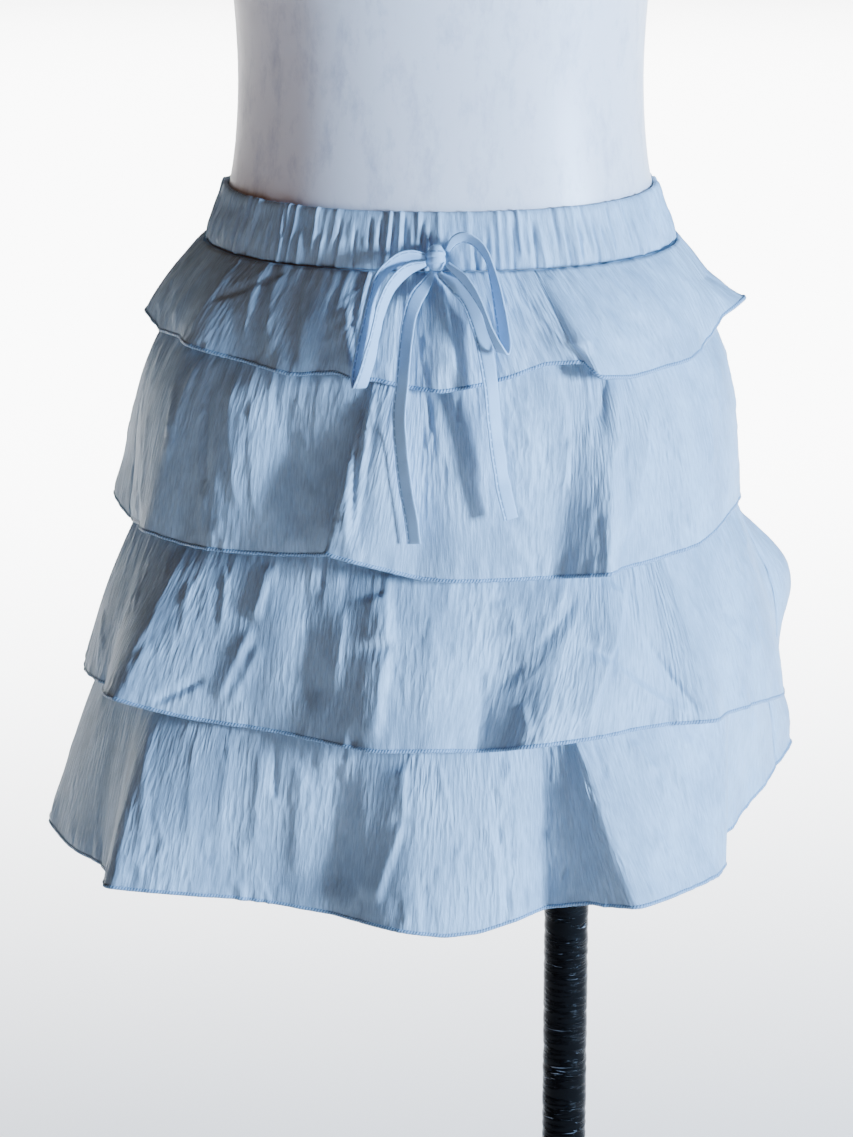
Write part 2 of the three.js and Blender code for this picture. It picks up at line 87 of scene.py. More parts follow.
# %% Tables and smooth reading
SQUARENESS = 0.02  # how far the sections bulge past an ellipse between front and side


def columns(names, rows):
    """A short table as one array for each named column, 0 where a row leaves a value out."""
    width = len(names.split())
    filled = [list(row) + [0] * (width - len(row)) for row in rows]
    return dict(zip(names.split(), np.array(filled, float).T))


def read_smoothly(table, key, level):
    """One column at any level, on a smooth curve through the rows."""
    order = np.argsort(table["level"])
    x, v = table["level"][order], table[key][order]
    k = np.arange(len(x))
    low, high = np.maximum(k - 1, 0), np.minimum(k + 1, len(x) - 1)
    slope = (v[high] - v[low]) / (x[high] - x[low])
    z = np.clip(level, x[0], x[-1])
    i = np.clip(np.searchsorted(x, z, side="right") - 1, 0, len(x) - 2)
    span = x[i + 1] - x[i]
    u = (z - x[i]) / span
    start = (2 * u**3 - 3 * u**2 + 1) * v[i] + (u**3 - 2 * u**2 + u) * span * slope[i]
    return start + (3 * u**2 - 2 * u**3) * v[i + 1] + (u**3 - u**2) * span * slope[i + 1]


def ring_points(section, degrees, out, level):
    """Points of a body section, `out` mm outside it, in metres. 0 degrees is the centre front."""
    angle = np.radians(degrees)
    bulge = 1 + SQUARENESS * (1 - np.cos(4 * angle)) / 2
    depth = np.where(np.cos(angle) > 0, section["front"], section["back"]) + out
    x = bulge * (section["half"] + out) * np.sin(angle)
    y = -bulge * depth * np.cos(angle)
    return np.stack(np.broadcast_arrays(x * MM, y * MM, WAIST + level * MM), axis=-1)


# The line that the cloth hangs on, at levels below the waistband's top.
CLOTH_LINE = columns("level half front back", [
    (20, 117, 85, 83), (0, 119, 86.5, 85), (-31.5, 129.5, 92, 93), (-75, 145, 99, 105), (-120, 158, 103, 116),
    (-170, 163, 102, 120), (-200, 165, 104, 122), (-225, 168, 107, 125), (-280, 178, 116, 131),
])


def line_section(level):
    return {key: read_smoothly(CLOTH_LINE, key, level) for key in ("half", "front", "back")}


print("hips:", round(float(line_section(-200)["half"]) * 2), "mm across")

# %% [markdown]
# ## Helpers for meshes
# Cloth is a grid of points with a thickness. The grid gets a UV map in real metres, so that a weave keeps
# its size on every piece, and Solidify turns the grid into a wall.

# %% Grid meshes
bpy.ops.object.select_all(action="DESELECT")


def mesh_piece(name, points, faces, corner_uv, smooth, material):
    """An object on the one body, with a UV map in metres."""
    mesh = bpy.data.meshes.new(name)
    mesh.from_pydata(points.reshape(-1, 3).tolist(), [], faces)
    mesh.uv_layers.new(name="cloth").data.foreach_set("uv", corner_uv.reshape(-1))
    mesh.polygons.foreach_set("use_smooth", smooth)
    mesh.materials.append(material)
    piece = bpy.data.objects.new(name, mesh)
    bpy.context.scene.collection.objects.link(piece)
    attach(piece, "root")
    return piece


def grid_piece(name, points, uv, material, closed=False):
    """An object from points[across][down]; closed joins the last line of points to the first."""
    across, down = points.shape[:2]
    index = np.arange(across * down).reshape(across, down)
    nxt = np.roll(index, -1, axis=0) if closed else index[1:]
    here = index if closed else index[:-1]
    faces = np.stack([here[:, :-1], here[:, 1:], nxt[:, 1:], nxt[:, :-1]], axis=-1).reshape(-1, 4)
    corner_uv = uv.reshape(-1, 2)[faces.reshape(-1)].astype(float)
    if closed:
        lap = corner_uv.reshape(-1, 4, 2)
        wraps = lap[:, 0, 0] - lap[:, 2, 0] > 0.5 * uv[..., 0].max()
        lap[wraps, 2:, 0] += uv[..., 0].max()
    return mesh_piece(name, points, faces.tolist(), corner_uv, [True] * len(faces), material)


def thicken(piece, thickness):
    wall = piece.modifiers.new("wall", "SOLIDIFY")
    wall.thickness = thickness
    wall.offset = -1
    return piece


def outward(points, closed=False):
    """Unit normals of a grid of points, pointing away from the body."""
    if closed:
        across = np.roll(points, -1, axis=0) - np.roll(points, 1, axis=0)
    else:
        across = np.gradient(points, axis=0)
    normal = np.cross(np.gradient(points, axis=1), across)
    return normal / np.maximum(np.linalg.norm(normal, axis=-1, keepdims=True), 1e-12)


def slow_waves(rng, along, length, pitch, spread):
    """Random values every pitch, joined by straight lines and read at places along a length."""
    values = rng.normal(0, spread, int(length / pitch) + 3)
    return np.interp(along, np.arange(0, length + 2 * pitch, pitch), values)


def run_length(points, axis):
    """How far each point lies along the grid, in metres."""
    steps = np.linalg.norm(np.diff(points, axis=axis), axis=-1)
    start = np.zeros_like(np.take(steps, [0], axis=axis))
    return np.concatenate([start, np.cumsum(steps, axis=axis)], axis=axis)


# %% [markdown]
# ## Materials
# Each material starts from the real one: its colour, how rough it is and the marks of how it was made.
# Noise is scaled by real millimetres. The cloth's threads are finer than a pixel, so its grain is drawn a
# little coarser than real; without that the weave would only shimmer.

# %% Node helpers


def srgb(code):
    """A hex colour as linear RGBA."""
    values = [int(code[i : i + 2], 16) / 255 for i in (1, 3, 5)]
    return [v / 12.92 if v <= 0.04045 else ((v + 0.055) / 1.055) ** 2.4 for v in values] + [1]


def add_node(tree, kind, inputs=None, **settings):
    """Adds a node. An input is a value, or another node's socket to link from."""
    node = tree.nodes.new(kind)
    for key, value in settings.items():
        setattr(node, key, value)
    for key, value in (inputs or {}).items():
        if isinstance(value, bpy.types.NodeSocket):
            tree.links.new(value, node.inputs[key])
        else:
            node.inputs[key].default_value = value
    return node


def new_material(name):
    material = bpy.data.materials.new(name)
    material.use_nodes = True
    material.node_tree.nodes.clear()
    return material, material.node_tree


def finish_material(tree, **inputs):
    """Closes a material with one coat of the given inputs."""
    shader = add_node(tree, "ShaderNodeBsdfPrincipled", {
        key.replace("_", " "): value for key, value in inputs.items()})
    add_node(tree, "ShaderNodeOutputMaterial", {"Surface": shader.outputs["BSDF"]})


def cloth_map(tree):
    return add_node(tree, "ShaderNodeUVMap", uv_map="cloth").outputs[0]


def own_place(tree):
    return add_node(tree, "ShaderNodeTexCoord").outputs["Object"]


def stretched(tree, place, *sizes, tilt=(0, 0, 0)):
    """A place measured in the given sizes, in metres, along its axes."""
    scale = [1 / size for size in sizes] + [1] * (3 - len(sizes))
    return add_node(tree, "ShaderNodeMapping", {
        "Vector": place, "Scale": scale, "Rotation": tilt}).outputs[0]


def noise(tree, place, scale=1, detail=3, roughness=0.5, distortion=0, output="Fac"):
    return add_node(tree, "ShaderNodeTexNoise", {
        "Vector": place, "Scale": scale, "Detail": detail, "Roughness": roughness,
        "Distortion": distortion}).outputs[output]


def mapped(tree, value, low, high, to_low=0, to_high=1):
    return add_node(tree, "ShaderNodeMapRange", {
        "Value": value, "From Min": low, "From Max": high, "To Min": to_low, "To Max": to_high}).outputs[0]


def maths(tree, operation, first, second=0):
    return add_node(tree, "ShaderNodeMath", {0: first, 1: second}, operation=operation).outputs[0]


def blended(tree, share, first, second):
    """From the first colour to the second. A colour is a hex code, or a socket."""
    first, second = (srgb(c) if isinstance(c, str) else c for c in (first, second))
    return add_node(tree, "ShaderNodeMix", {0: share, 6: first, 7: second}, data_type="RGBA").outputs[2]


def relief(tree, height, strength, depth, over=None, sunk=False):
    """A bumped surface, over another one where that is given."""
    inputs = {"Height": height, "Strength": strength, "Distance": depth}
    if over:
        inputs["Normal"] = over
    return add_node(tree, "ShaderNodeBump", inputs, invert=sunk).outputs[0]


# %% [markdown]
# ### Crinkled polyester cloth
# The cloth is a light woven polyester, crushed with heat so that it keeps fine upright crinkles. Three
# things make it: a thread grain, upright crinkles a few millimetres wide, and slow changes of tone where
# the cloth was pressed. All follow the UV map, because the crinkles run down each frill and turn with it.

# %% Cloth material
THREAD = 0.9 * MM  # real threads are about 0.2 mm; drawn coarser to show
CRINKLE_WIDTH = 2.7 * MM
CRINKLE_LENGTH = 15 * MM


def cloth_material(name, light, deep, crinkle=1.0):
    material, tree = new_material(name)
    uv = cloth_map(tree)
    wander = noise(tree, stretched(tree, uv, 8 * MM, 12 * MM), output="Color")
    bent = add_node(tree, "ShaderNodeVectorMath", {
        0: stretched(tree, uv, CRINKLE_WIDTH, CRINKLE_LENGTH), 1: wander}, operation="ADD")
    facets = add_node(tree, "ShaderNodeTexVoronoi", {"Vector": bent.outputs[0], "Scale": 1}, feature="F1")
    streaks = noise(tree, stretched(tree, uv, 1.0 * MM, 9 * MM), roughness=0.6)
    threads = noise(tree, stretched(tree, uv, THREAD, THREAD), detail=2)
    pressed = noise(tree, stretched(tree, uv, 26 * MM, 44 * MM), detail=2)
    patchy = mapped(tree, pressed, 0.36, 0.62, 0.25, 1)
    crushed = maths(tree, "MULTIPLY", facets.outputs["Distance"], patchy)
    tone = mapped(tree, maths(tree, "ADD", streaks, pressed), 0.78, 1.22)
    grain = relief(tree, threads, 0.4, 0.12 * MM)
    lines = relief(tree, streaks, 0.6 * crinkle, 0.6 * MM, over=grain)
    crush = relief(tree, crushed, 0.9 * crinkle, 0.85 * MM, over=lines)
    finish_material(
        tree, Base_Color=blended(tree, tone, deep, light), Roughness=0.55, Specular_IOR_Level=0.4,
        Sheen_Weight=0.12, Sheen_Roughness=0.4, Sheen_Tint=srgb("#dfeaf6"), Normal=crush)
    return material


crinkled_cloth = cloth_material("crinkled polyester cloth", "#b0cce2", "#91a9be")
casing_cloth = cloth_material("gathered polyester casing", "#b0cce2", "#91a9be", crinkle=0.6)
lining_cloth = cloth_material("plain polyester shorts cloth", "#abcde8", "#9dbfdc", crinkle=0.25)

# %% [markdown]
# ### Merrow thread
# The frills are finished on a merrow machine, which wraps the raw edge in close slanting thread. It is a
# shade darker than the cloth. The wraps are drawn as slanting ridges along the hem's own length.

# %% Thread material
WRAP_PITCH = 1.5 * MM  # real wraps are about 0.6 mm apart; drawn coarser to show


def thread_material():
    material, tree = new_material("polyester merrow thread")
    slant = stretched(tree, cloth_map(tree), WRAP_PITCH, WRAP_PITCH, tilt=(0, 0, 0.5))
    wraps = add_node(tree, "ShaderNodeTexWave", {
        "Vector": slant, "Scale": 0.32, "Distortion": 1.2, "Detail": 1}, wave_type="BANDS").outputs["Fac"]
    finish_material(
        tree, Base_Color=blended(tree, wraps, "#6a8aa8", "#93b1cc"), Roughness=0.5,
        Specular_IOR_Level=0.45, Sheen_Weight=0.2, Normal=relief(tree, wraps, 0.7, 0.35 * MM))
    return material


merrow_thread = thread_material()
print("cloth materials:", [m.name for m in bpy.data.materials if m.node_tree and "poly" in m.name])

# %% [markdown]
# ## The frills' shape
# A frill is a strip longer than the seam it is sewn to, so it falls in folds. Its hem is kept as a list of
# fold corners: how far round, how far out, how far up, and how far round the same thread sits at the seam.
# Folds grow from the seam to the hem. A corner that steps back is a fold lying over its neighbour.

# %% Frill tables
CLOTH = 1.2  # wall, mm
SHORTS_EASE = 0.7  # mm between the line that the cloth hangs on and the shorts
BASE_GAP, TIER_GAP = 0.3, 0.6  # mm between the shorts, the skirt base and the frills
BASE_EASE = SHORTS_EASE + CLOTH + BASE_GAP
TIER_EASE = SHORTS_EASE + 2 * CLOTH + BASE_GAP + TIER_GAP
SEAM_LEVEL = -31.8  # where the panels are sewn to the waistband, mm below its top
CORNER_REACH = 0.16  # how far a corner's rounding runs towards the next corner
FOLD_GROWTH = 0.75  # below 1, so a fold opens early under its seam

TIERS = {
    "tier_1": dict(seam=SEAM_LEVEL, hem=-91, half=158, front=116, back=122, spread=0.9),
    "tier_2": dict(seam=-76, hem=-198, half=176, front=124, back=138, spread=0.65),
    "tier_3": dict(seam=-184, hem=-291, half=198, front=142, back=154, spread=0.9),
    "tier_4": dict(seam=-267, hem=-391, half=214, front=162, back=172, spread=0.6),
}
FRONT_FOLDS = {
    "tier_1": [
        (-90, 11, 17, 0), (-79, 3, 10, 4), (-66, 0, 12, 4), (-54, 12, 14, 3), (-41, 1, 8, 3),
        (-28.8, 9, 6, 2), (-27, 0, 5, 4), (-21, 1, 7, 3), (-16.5, 7, 5, 1), (-13, 1, 4, 1), (-6, 1, 0, 0),
        (0, 6, -1, -1), (8, -1, 1, -3), (14, 2, 6, -4), (21, -2, 11, -6), (28.3, 3, 12, -7),
        (29.8, 13, 5, -7), (39, 6, 1, -9), (49, 2, 2, -8), (57, 6, 4, -7), (67, 1, 8, -6),
        (79, 4, 18, -4, 0.4), (90, 17, 24, 0, 0.5),
    ],
    "tier_2": [
        (-90, 3, -1, 0), (-76, 1, 5, 3), (-60, 12, 11, 5), (-52, 5, 8, 4), (-43, 9, 10, 2),
        (-26.5, -6, 9, 0), (-18, 3, 14, 4), (-19.6, 16, 18, 8), (-15, 18, 15, 7), (-4, 4, 2, 1),
        (2, 7, 1, -1), (10, 3, 0, -2), (21, -1, -1, 5, 0.3), (27.3, 25, 6, 5, 0.3), (32, 8, 3, 3),
        (43, 2, 4, -4), (52, 6, 8, -5), (66, 1, 17, -3), (78, -1, 19, -2), (90, -5, 18, 0),
    ],
    "tier_3": [
        (-90, 11, 0, 0), (-72, 1, 4, 1), (-53, 30, 18, 1), (-49, 21, 14, 1), (-43.5, 9, 9, 1),
        (-40.5, 3, 7, 1), (-33, -4, 5, 1, 0.4), (-25, -6, 3, 1, 0.4), (-10, 13, 3, 0), (-1, 10, 3, 3),
        (6.2, 0, -1, 7), (13, 18, 7, 12), (24, 14, 8, 8), (31, 8, 8, 5), (38, 5, 7, 2), (45, 16, 7, -2),
        (52, 4, 4, -4), (63, 2, 1, -2), (77, 6, -5, 0), (90, 2, -11, 0),
    ],
    "tier_4": [
        (-90, 19, 5, 0), (-78, 8, 2, 1), (-66, 0, 4, -1), (-58, 6, 6, -2), (-48.5, 34, 15, -3),
        (-42.4, 15, 12, 0), (-35, -6, 8, 1), (-28, -16, 5, 2), (-17.5, -16, 2, 3), (-6, 5, 2, 3),
        (0.5, 2, -2, 1), (5.8, -3, -2, 0), (12.5, -9, 3, 0), (17.3, -18, 5, 0), (22, -2, 12, -2),
        (26.8, 25, 17, -6), (35.7, 14, 17, -4), (45, 4, 17, -4), (49.5, -4, 18, 7), (57, -34, 10, 7),
        (74, -30, 26, 0), (90, -14, 40, 0),
    ],
}
BACK_FOLDS = {
    "tier_1": [
        (103, 2, 10, -2), (118, 7, 4, -2), (129, 0, 3, 0), (141, 8, 4, 3), (149, 0, 2, 2), (163, 6, 2, 0),
        (176, 0, 0, 0), (188, 8, 3, -3), (197, 1, 2, 0), (212, 6, 5, 2), (222, 0, 3, 1), (236, 8, 6, 0),
        (252, 1, 7, 2),
    ],
    "tier_2": [
        (102, 0, 9, 0), (113, -1, 5, 2), (127, 10, 6, -4), (134, 0, 4, 0), (152, 9, 3, 0), (166, -2, 0, -2),
        (178, 8, 2, 4), (189, 0, 1, 0), (204, 12, 5, -4), (211, 1, 3, 0), (226, 8, 5, 3), (240, -1, 4, 0),
        (256, 20, 5, -3),
    ],
    "tier_3": [
        (100, 5, -2, -2), (110, 1, 3, 0), (124, 11, 8, 4), (137, -2, 5, 0), (148, 12, 6, -5), (155, 1, 2, -1),
        (172, 10, 3, 0), (186, -1, 1, 2), (199, 13, 5, 5), (207, 2, 4, 0), (223, 9, 3, -3), (236, -1, 5, 0),
        (250, 12, 5, 3),
    ],
    "tier_4": [
        (100, 1, 45, 0), (109, -8, 24, 0), (122, 9, 12, 4), (134, -3, 9, 0), (149, 13, 10, -4),
        (156, 0, 5, 0), (172, 11, 6, 0), (187, -2, 2, 0), (202, 15, 6, 4), (210, 1, 5, 0), (225, 10, 6, -3),
        (239, -2, 3, 0), (253, 13, 6, 2),
    ],
}
# Where a frill bellies out above its hem: degrees, share of the way down, mm, half width, half height.
PUFFS = {"tier_3": (99, 0.5, 17, 14, 0.4), "tier_4": (99, 0.55, 4, 12, 0.4)}


def read_fold(folds, place, key):
    """A hem table's value at a place between its corners, all round, with the corners rounded."""
    count = len(folds["at"])

    def value(k):
        laps = 360 * np.floor_divide(k, count) if key == "at" else 0
        return folds[key][np.mod(k, count)] + laps

    low = np.floor(place).astype(int)
    straight = value(low) + (value(low + 1) - value(low)) * (place - low)
    corner = np.round(place).astype(int)
    off = place - corner
    ahead = (value(corner + 1) - value(corner)) * (off + CORNER_REACH) ** 2
    behind = (value(corner) - value(corner - 1)) * (off - CORNER_REACH) ** 2
    rounded = value(corner) + (ahead - behind) / (4 * CORNER_REACH)
    return np.where(np.abs(off) < CORNER_REACH, rounded, straight)


def bump(distance):
    return np.maximum(0, 1 - distance**2) ** 2


def tier_points(name, place, t):
    """Points of a frill at places round it (a column) and shares of the way down (a row), and how many mm
    each stands clear of the ring that the frill is sewn to."""
    tier = TIERS[name]
    folds = columns("at out rise turn from", FRONT_FOLDS[name] + BACK_FOLDS[name])
    start = read_fold(folds, place, "from")
    grown = np.maximum(0, (t - start) / (1 - start)) ** FOLD_GROWTH
    degrees = read_fold(folds, place, "at") + read_fold(folds, place, "turn") * (1 - t)
    out = read_fold(folds, place, "out") * grown
    if name in PUFFS:
        at, down, swell, wide, tall = PUFFS[name]
        out = out + swell * bump((degrees - at) / wide) * bump((t - down) / tall)
    plain = tier["seam"] + (tier["hem"] - tier["seam"]) * t
    section = line_section(plain)
    spread = {}
    for key in section:
        first = section[key] + TIER_EASE + CLOTH
        spread[key] = (tier[key] - first) * t ** tier["spread"]
        section[key] = first + spread[key]
    facing = np.cos(np.radians(degrees))
    along_depth = np.where(facing > 0, spread["front"], spread["back"]) * facing**2
    clear = out + along_depth + spread["half"] * (1 - facing**2)
    return ring_points(section, degrees, out, plain + read_fold(folds, place, "rise") * t**2), clear


print("fold corners:", sum(len(v) for v in [*FRONT_FOLDS.values(), *BACK_FOLDS.values()]))

# %% [markdown]
# ## Creases
# Crushed cloth keeps small sharp creases. Each is a short ridge or trough with one steep side and one easy
# side, given in the frill's own millimetres. The small ones are scattered with a fixed seed, mostly
# upright, uneven in length, depth and width, like the cloth itself.

# %% Crease helpers


def crease_height(across, down, creases, rooted=False):
    """Height in mm at each point (mm across, mm down) of creases (u0, v0, u1, v1, height, width, easy).
    The right side, seen going down, is width mm wide; the left side is easy times as wide. Rooted creases are
    full at their first end, as gathers are at a seam, and fade to the other."""
    height = np.zeros_like(across)
    for u0, v0, u1, v1, tall, wide, easy in creases:
        reach = wide * max(1, easy) * 1.1
        lo = np.searchsorted(across[:, -1], min(u0, u1) - reach)
        hi = np.searchsorted(across[:, -1], max(u0, u1) + reach)
        run = math.hypot(u1 - u0, v1 - v0)
        if hi <= lo or run < 0.5:
            continue
        u, v = across[lo:hi] - u0, down[lo:hi] - v0
        along = (u * (u1 - u0) + v * (v1 - v0)) / run**2
        side = (u * (v1 - v0) - v * (u1 - u0)) / run / wide
        side = np.where(side > 0, side, -side / easy)
        if rooted:
            fade = np.clip(1 - along, 0, 1) * (along > -0.3)
        else:
            fade = np.clip(5 * np.minimum(along, 1 - along), 0, 1)
            fade = fade * fade * (3 - 2 * fade)
        height[lo:hi] += tall * fade * np.maximum(0, 1 - side) ** 1.3
    return height


def crushed_patches(rng, width, length, area_each, tall, wide, run):
    """Small upright creases in uneven patches, as crushing leaves them, over a panel width by length mm."""
    creases = []
    for _ in range(int(width * length / area_each)):
        u, v = rng.uniform(0, width), rng.uniform(0, length)
        lean, strength = rng.normal(0, 0.2), rng.uniform(0.5, 1.15)
        for _ in range(rng.integers(4, 11)):
            u0, v0 = u + rng.normal(0, 7), v + rng.normal(0, 11)
            angle = lean + rng.normal(0, 0.22)
            reach = rng.uniform(*run)
            height = rng.uniform(*tall) * strength * rng.choice([-1, 1, 1])
            creases.append((
                u0, v0, u0 + reach * math.sin(angle), v0 + reach * math.cos(angle), height,
                rng.uniform(*wide), rng.uniform(0.6, 2.6)))
    return creases


# %% [markdown]
# ### Main creases
# The large creases are listed one by one. Those in front are given where they show from the camera, in pixels
# of its upright frame, since that is where they are seen. The nearest point of the frill's fold shape
# then gives each end its place on the cloth. Those behind are laid on the cloth itself, among its fold
# corners.

# %% Main creases in front
# From one end to the other in the frame (px), then height in mm (a trough is negative), width in mm of the
# right side, and how many times as wide the left side is.
SEEN = "from_x from_y to_x to_y height width easy"
FRONT_CREASES = {
    "tier_1": columns(SEEN, [
        (303, 264, 295, 372, -2.8, 4, 3), (346, 300, 352, 376, 2.6, 5, 3), (292, 268, 207, 300, -1.8, 3, 2),
        (238, 264, 190, 333, 1.8, 6, 0.6), (262, 264, 245, 350, 2.0, 8, 0.5),
        (278, 264, 272, 360, 1.6, 9, 0.4), (440, 278, 455, 384, 2.4, 4, 4),
        (405, 300, 400, 384, -1.8, 4, 2), (520, 276, 572, 350, 2.4, 4, 4), (548, 272, 592, 356, 6.0, 4, 8),
        (570, 272, 628, 352, 2.0, 5, 3), (598, 270, 642, 320, 1.8, 4, 3), (620, 264, 674, 332, 1.6, 5, 3),
        (652, 257, 700, 300, 1.2, 5, 3), (330, 285, 322, 370, -1.8, 7, 1),
        (215, 262, 172, 322, 1.6, 7, 0.6), (480, 290, 500, 365, -1.6, 5, 2),
        (496, 274, 540, 330, 1.6, 4, 4), (470, 276, 484, 330, 1.4, 4, 3),
    ]),
    "tier_2": columns(SEEN, [
        (205, 354, 165, 470, 2.4, 3, 3), (216, 362, 202, 500, -2.4, 8, 0.7),
        (234, 372, 238, 520, 1.6, 14, 0.5), (256, 380, 258, 530, 1.4, 14, 0.3),
        (288, 384, 300, 545, -3.6, 16, 1.4), (374, 392, 348, 552, 3.6, 3.5, 9),
        (366, 396, 353, 556, -4.5, 18, 0.15), (427, 392, 430, 436, -1.9, 2.5, 1),
        (437, 392, 440, 470, 1.5, 5, 1.2), (453, 396, 455, 422, -1.5, 2.5, 1),
        (552, 366, 569, 440, 1.6, 3.5, 4), (569, 440, 564, 496, 1.8, 3.5, 4),
        (614, 380, 619, 455, 2.6, 3.5, 6), (652, 392, 618, 560, 4.0, 3.5, 8),
        (704, 385, 712, 470, 1.5, 10, 1), (150, 400, 141, 515, 1.6, 8, 0.8),
        (330, 420, 326, 530, -1.4, 12, 1), (520, 390, 530, 500, 1.2, 7, 1.6),
        (590, 400, 588, 450, 1.2, 4, 2), (500, 520, 520, 570, 1.2, 6, 2), (178, 380, 170, 440, 1.5, 4, 2),
        (246, 410, 240, 470, 1.2, 5, 1.5), (480, 400, 476, 480, 1.1, 8, 1.5),
    ]),
    "tier_3": columns(SEEN, [
        (150, 640, 118, 699, 1.4, 8, 0.5), (190, 575, 182, 640, 1.0, 5, 1), (226, 570, 222, 630, 1.0, 5, 1),
        (270, 562, 252, 625, 2.8, 5, 2), (252, 625, 213, 705, 2.6, 5, 2), (205, 677, 150, 704, -3.0, 3, 2),
        (262, 640, 230, 706, 1.6, 6, 1), (300, 568, 312, 718, -3.4, 18, 1.0), (382, 590, 386, 650, 4.0, 4, 7),
        (386, 645, 373, 744, 3.6, 4, 7), (478, 660, 484, 742, -1.8, 5, 2), (622, 586, 606, 660, 6.0, 4, 8),
        (606, 655, 585, 722, 4.5, 4, 7), (605, 664, 698, 715, 2.5, 5, 3), (642, 632, 706, 718, -1.8, 3, 2),
        (498, 600, 520, 640, 1.8, 4, 3), (523, 700, 530, 738, 1.8, 3, 2), (430, 600, 424, 735, 1.4, 8, 1.6),
        (690, 600, 728, 668, 1.4, 10, 1), (580, 590, 490, 695, -2.2, 9, 2), (340, 600, 334, 690, 1.5, 6, 2),
        (555, 610, 520, 670, 1.3, 5, 2),
    ]),
    "tier_4": columns(SEEN, [
        (150, 725, 140, 850, 1.2, 7, 0.8), (196, 730, 186, 850, 1.0, 7, 0.8),
        (226, 735, 218, 850, 1.0, 7, 0.8), (272, 740, 272, 802, -1.6, 3, 1.5),
        (258, 742, 250, 860, 1.4, 9, 0.5), (300, 760, 296, 880, 1.4, 10, 0.6),
        (330, 756, 336, 905, -3.4, 20, 1.0), (402, 762, 405, 820, 2.6, 4, 5),
        (405, 815, 376, 905, 2.6, 4, 5), (587, 742, 602, 782, -1.5, 3, 1), (630, 738, 656, 776, 1.5, 3, 2),
        (660, 748, 718, 850, 1.6, 5, 2), (480, 790, 500, 898, 1.0, 8, 1.5), (440, 765, 445, 800, 1.3, 3, 2),
        (512, 760, 500, 800, 1.3, 4, 1.5), (680, 735, 712, 790, 1.2, 5, 1.5),
    ]),
}
PIXEL = 0.566 * MM  # what a pixel spans at the waist's distance
CORNER_STEPS, SHARE_STEPS = 24, 60  # how finely a panel is searched, between two corners and on the way down


def in_frame(points):
    """Where points in metres show, in pixels right of and below the frame's top left corner."""
    pitch = math.radians(CAMERA_PITCH)
    focal = (CAMERA_BACK * math.cos(pitch) + CAMERA_ABOVE_WAIST * math.sin(pitch)) / PIXEL
    x, y, z = (points[..., k] for k in range(3))
    x, y, z = x - CAMERA_ASIDE, y + CAMERA_BACK, z - WAIST - CAMERA_ABOVE_WAIST
    ahead = y * math.cos(pitch) - z * math.sin(pitch)
    above = z * math.cos(pitch) + y * math.sin(pitch)
    return FRAME_WIDTH / 2 + focal * x / ahead, FRAME_HEIGHT / 2 - focal * above / ahead


def laid_on_cloth(tier):
    """A front panel's creases: the place among its corners and the share of the way down of both ends, then
    their other columns."""
    corners = len(FRONT_FOLDS[tier]) - 1
    place = np.linspace(0, corners, corners * CORNER_STEPS + 1)
    share = np.linspace(0, 1, SHARE_STEPS + 1)
    points, _ = tier_points(tier, place[:, None], share[None, :])
    x, y = in_frame(points)
    behind = np.where(points[..., 1] > 0, np.inf, 0)
    seen = FRONT_CREASES[tier]
    ends = []
    for end in ("from", "to"):
        for px, py in zip(seen[end + "_x"], seen[end + "_y"]):
            nearest = np.argmin(np.hypot(x - px, y - py) + behind)
            i, j = np.unravel_index(nearest, x.shape)
            ends.append((round(float(place[i]), 1), round(float(share[j]), 2)))
    count = len(seen["height"])
    shape = zip(seen["height"], seen["width"], seen["easy"])
    return [(*start, *end, *rest) for start, end, rest in zip(ends[:count], ends[count:], shape)]


print("creases in front:", sum(len(table["height"]) for table in FRONT_CREASES.values()))

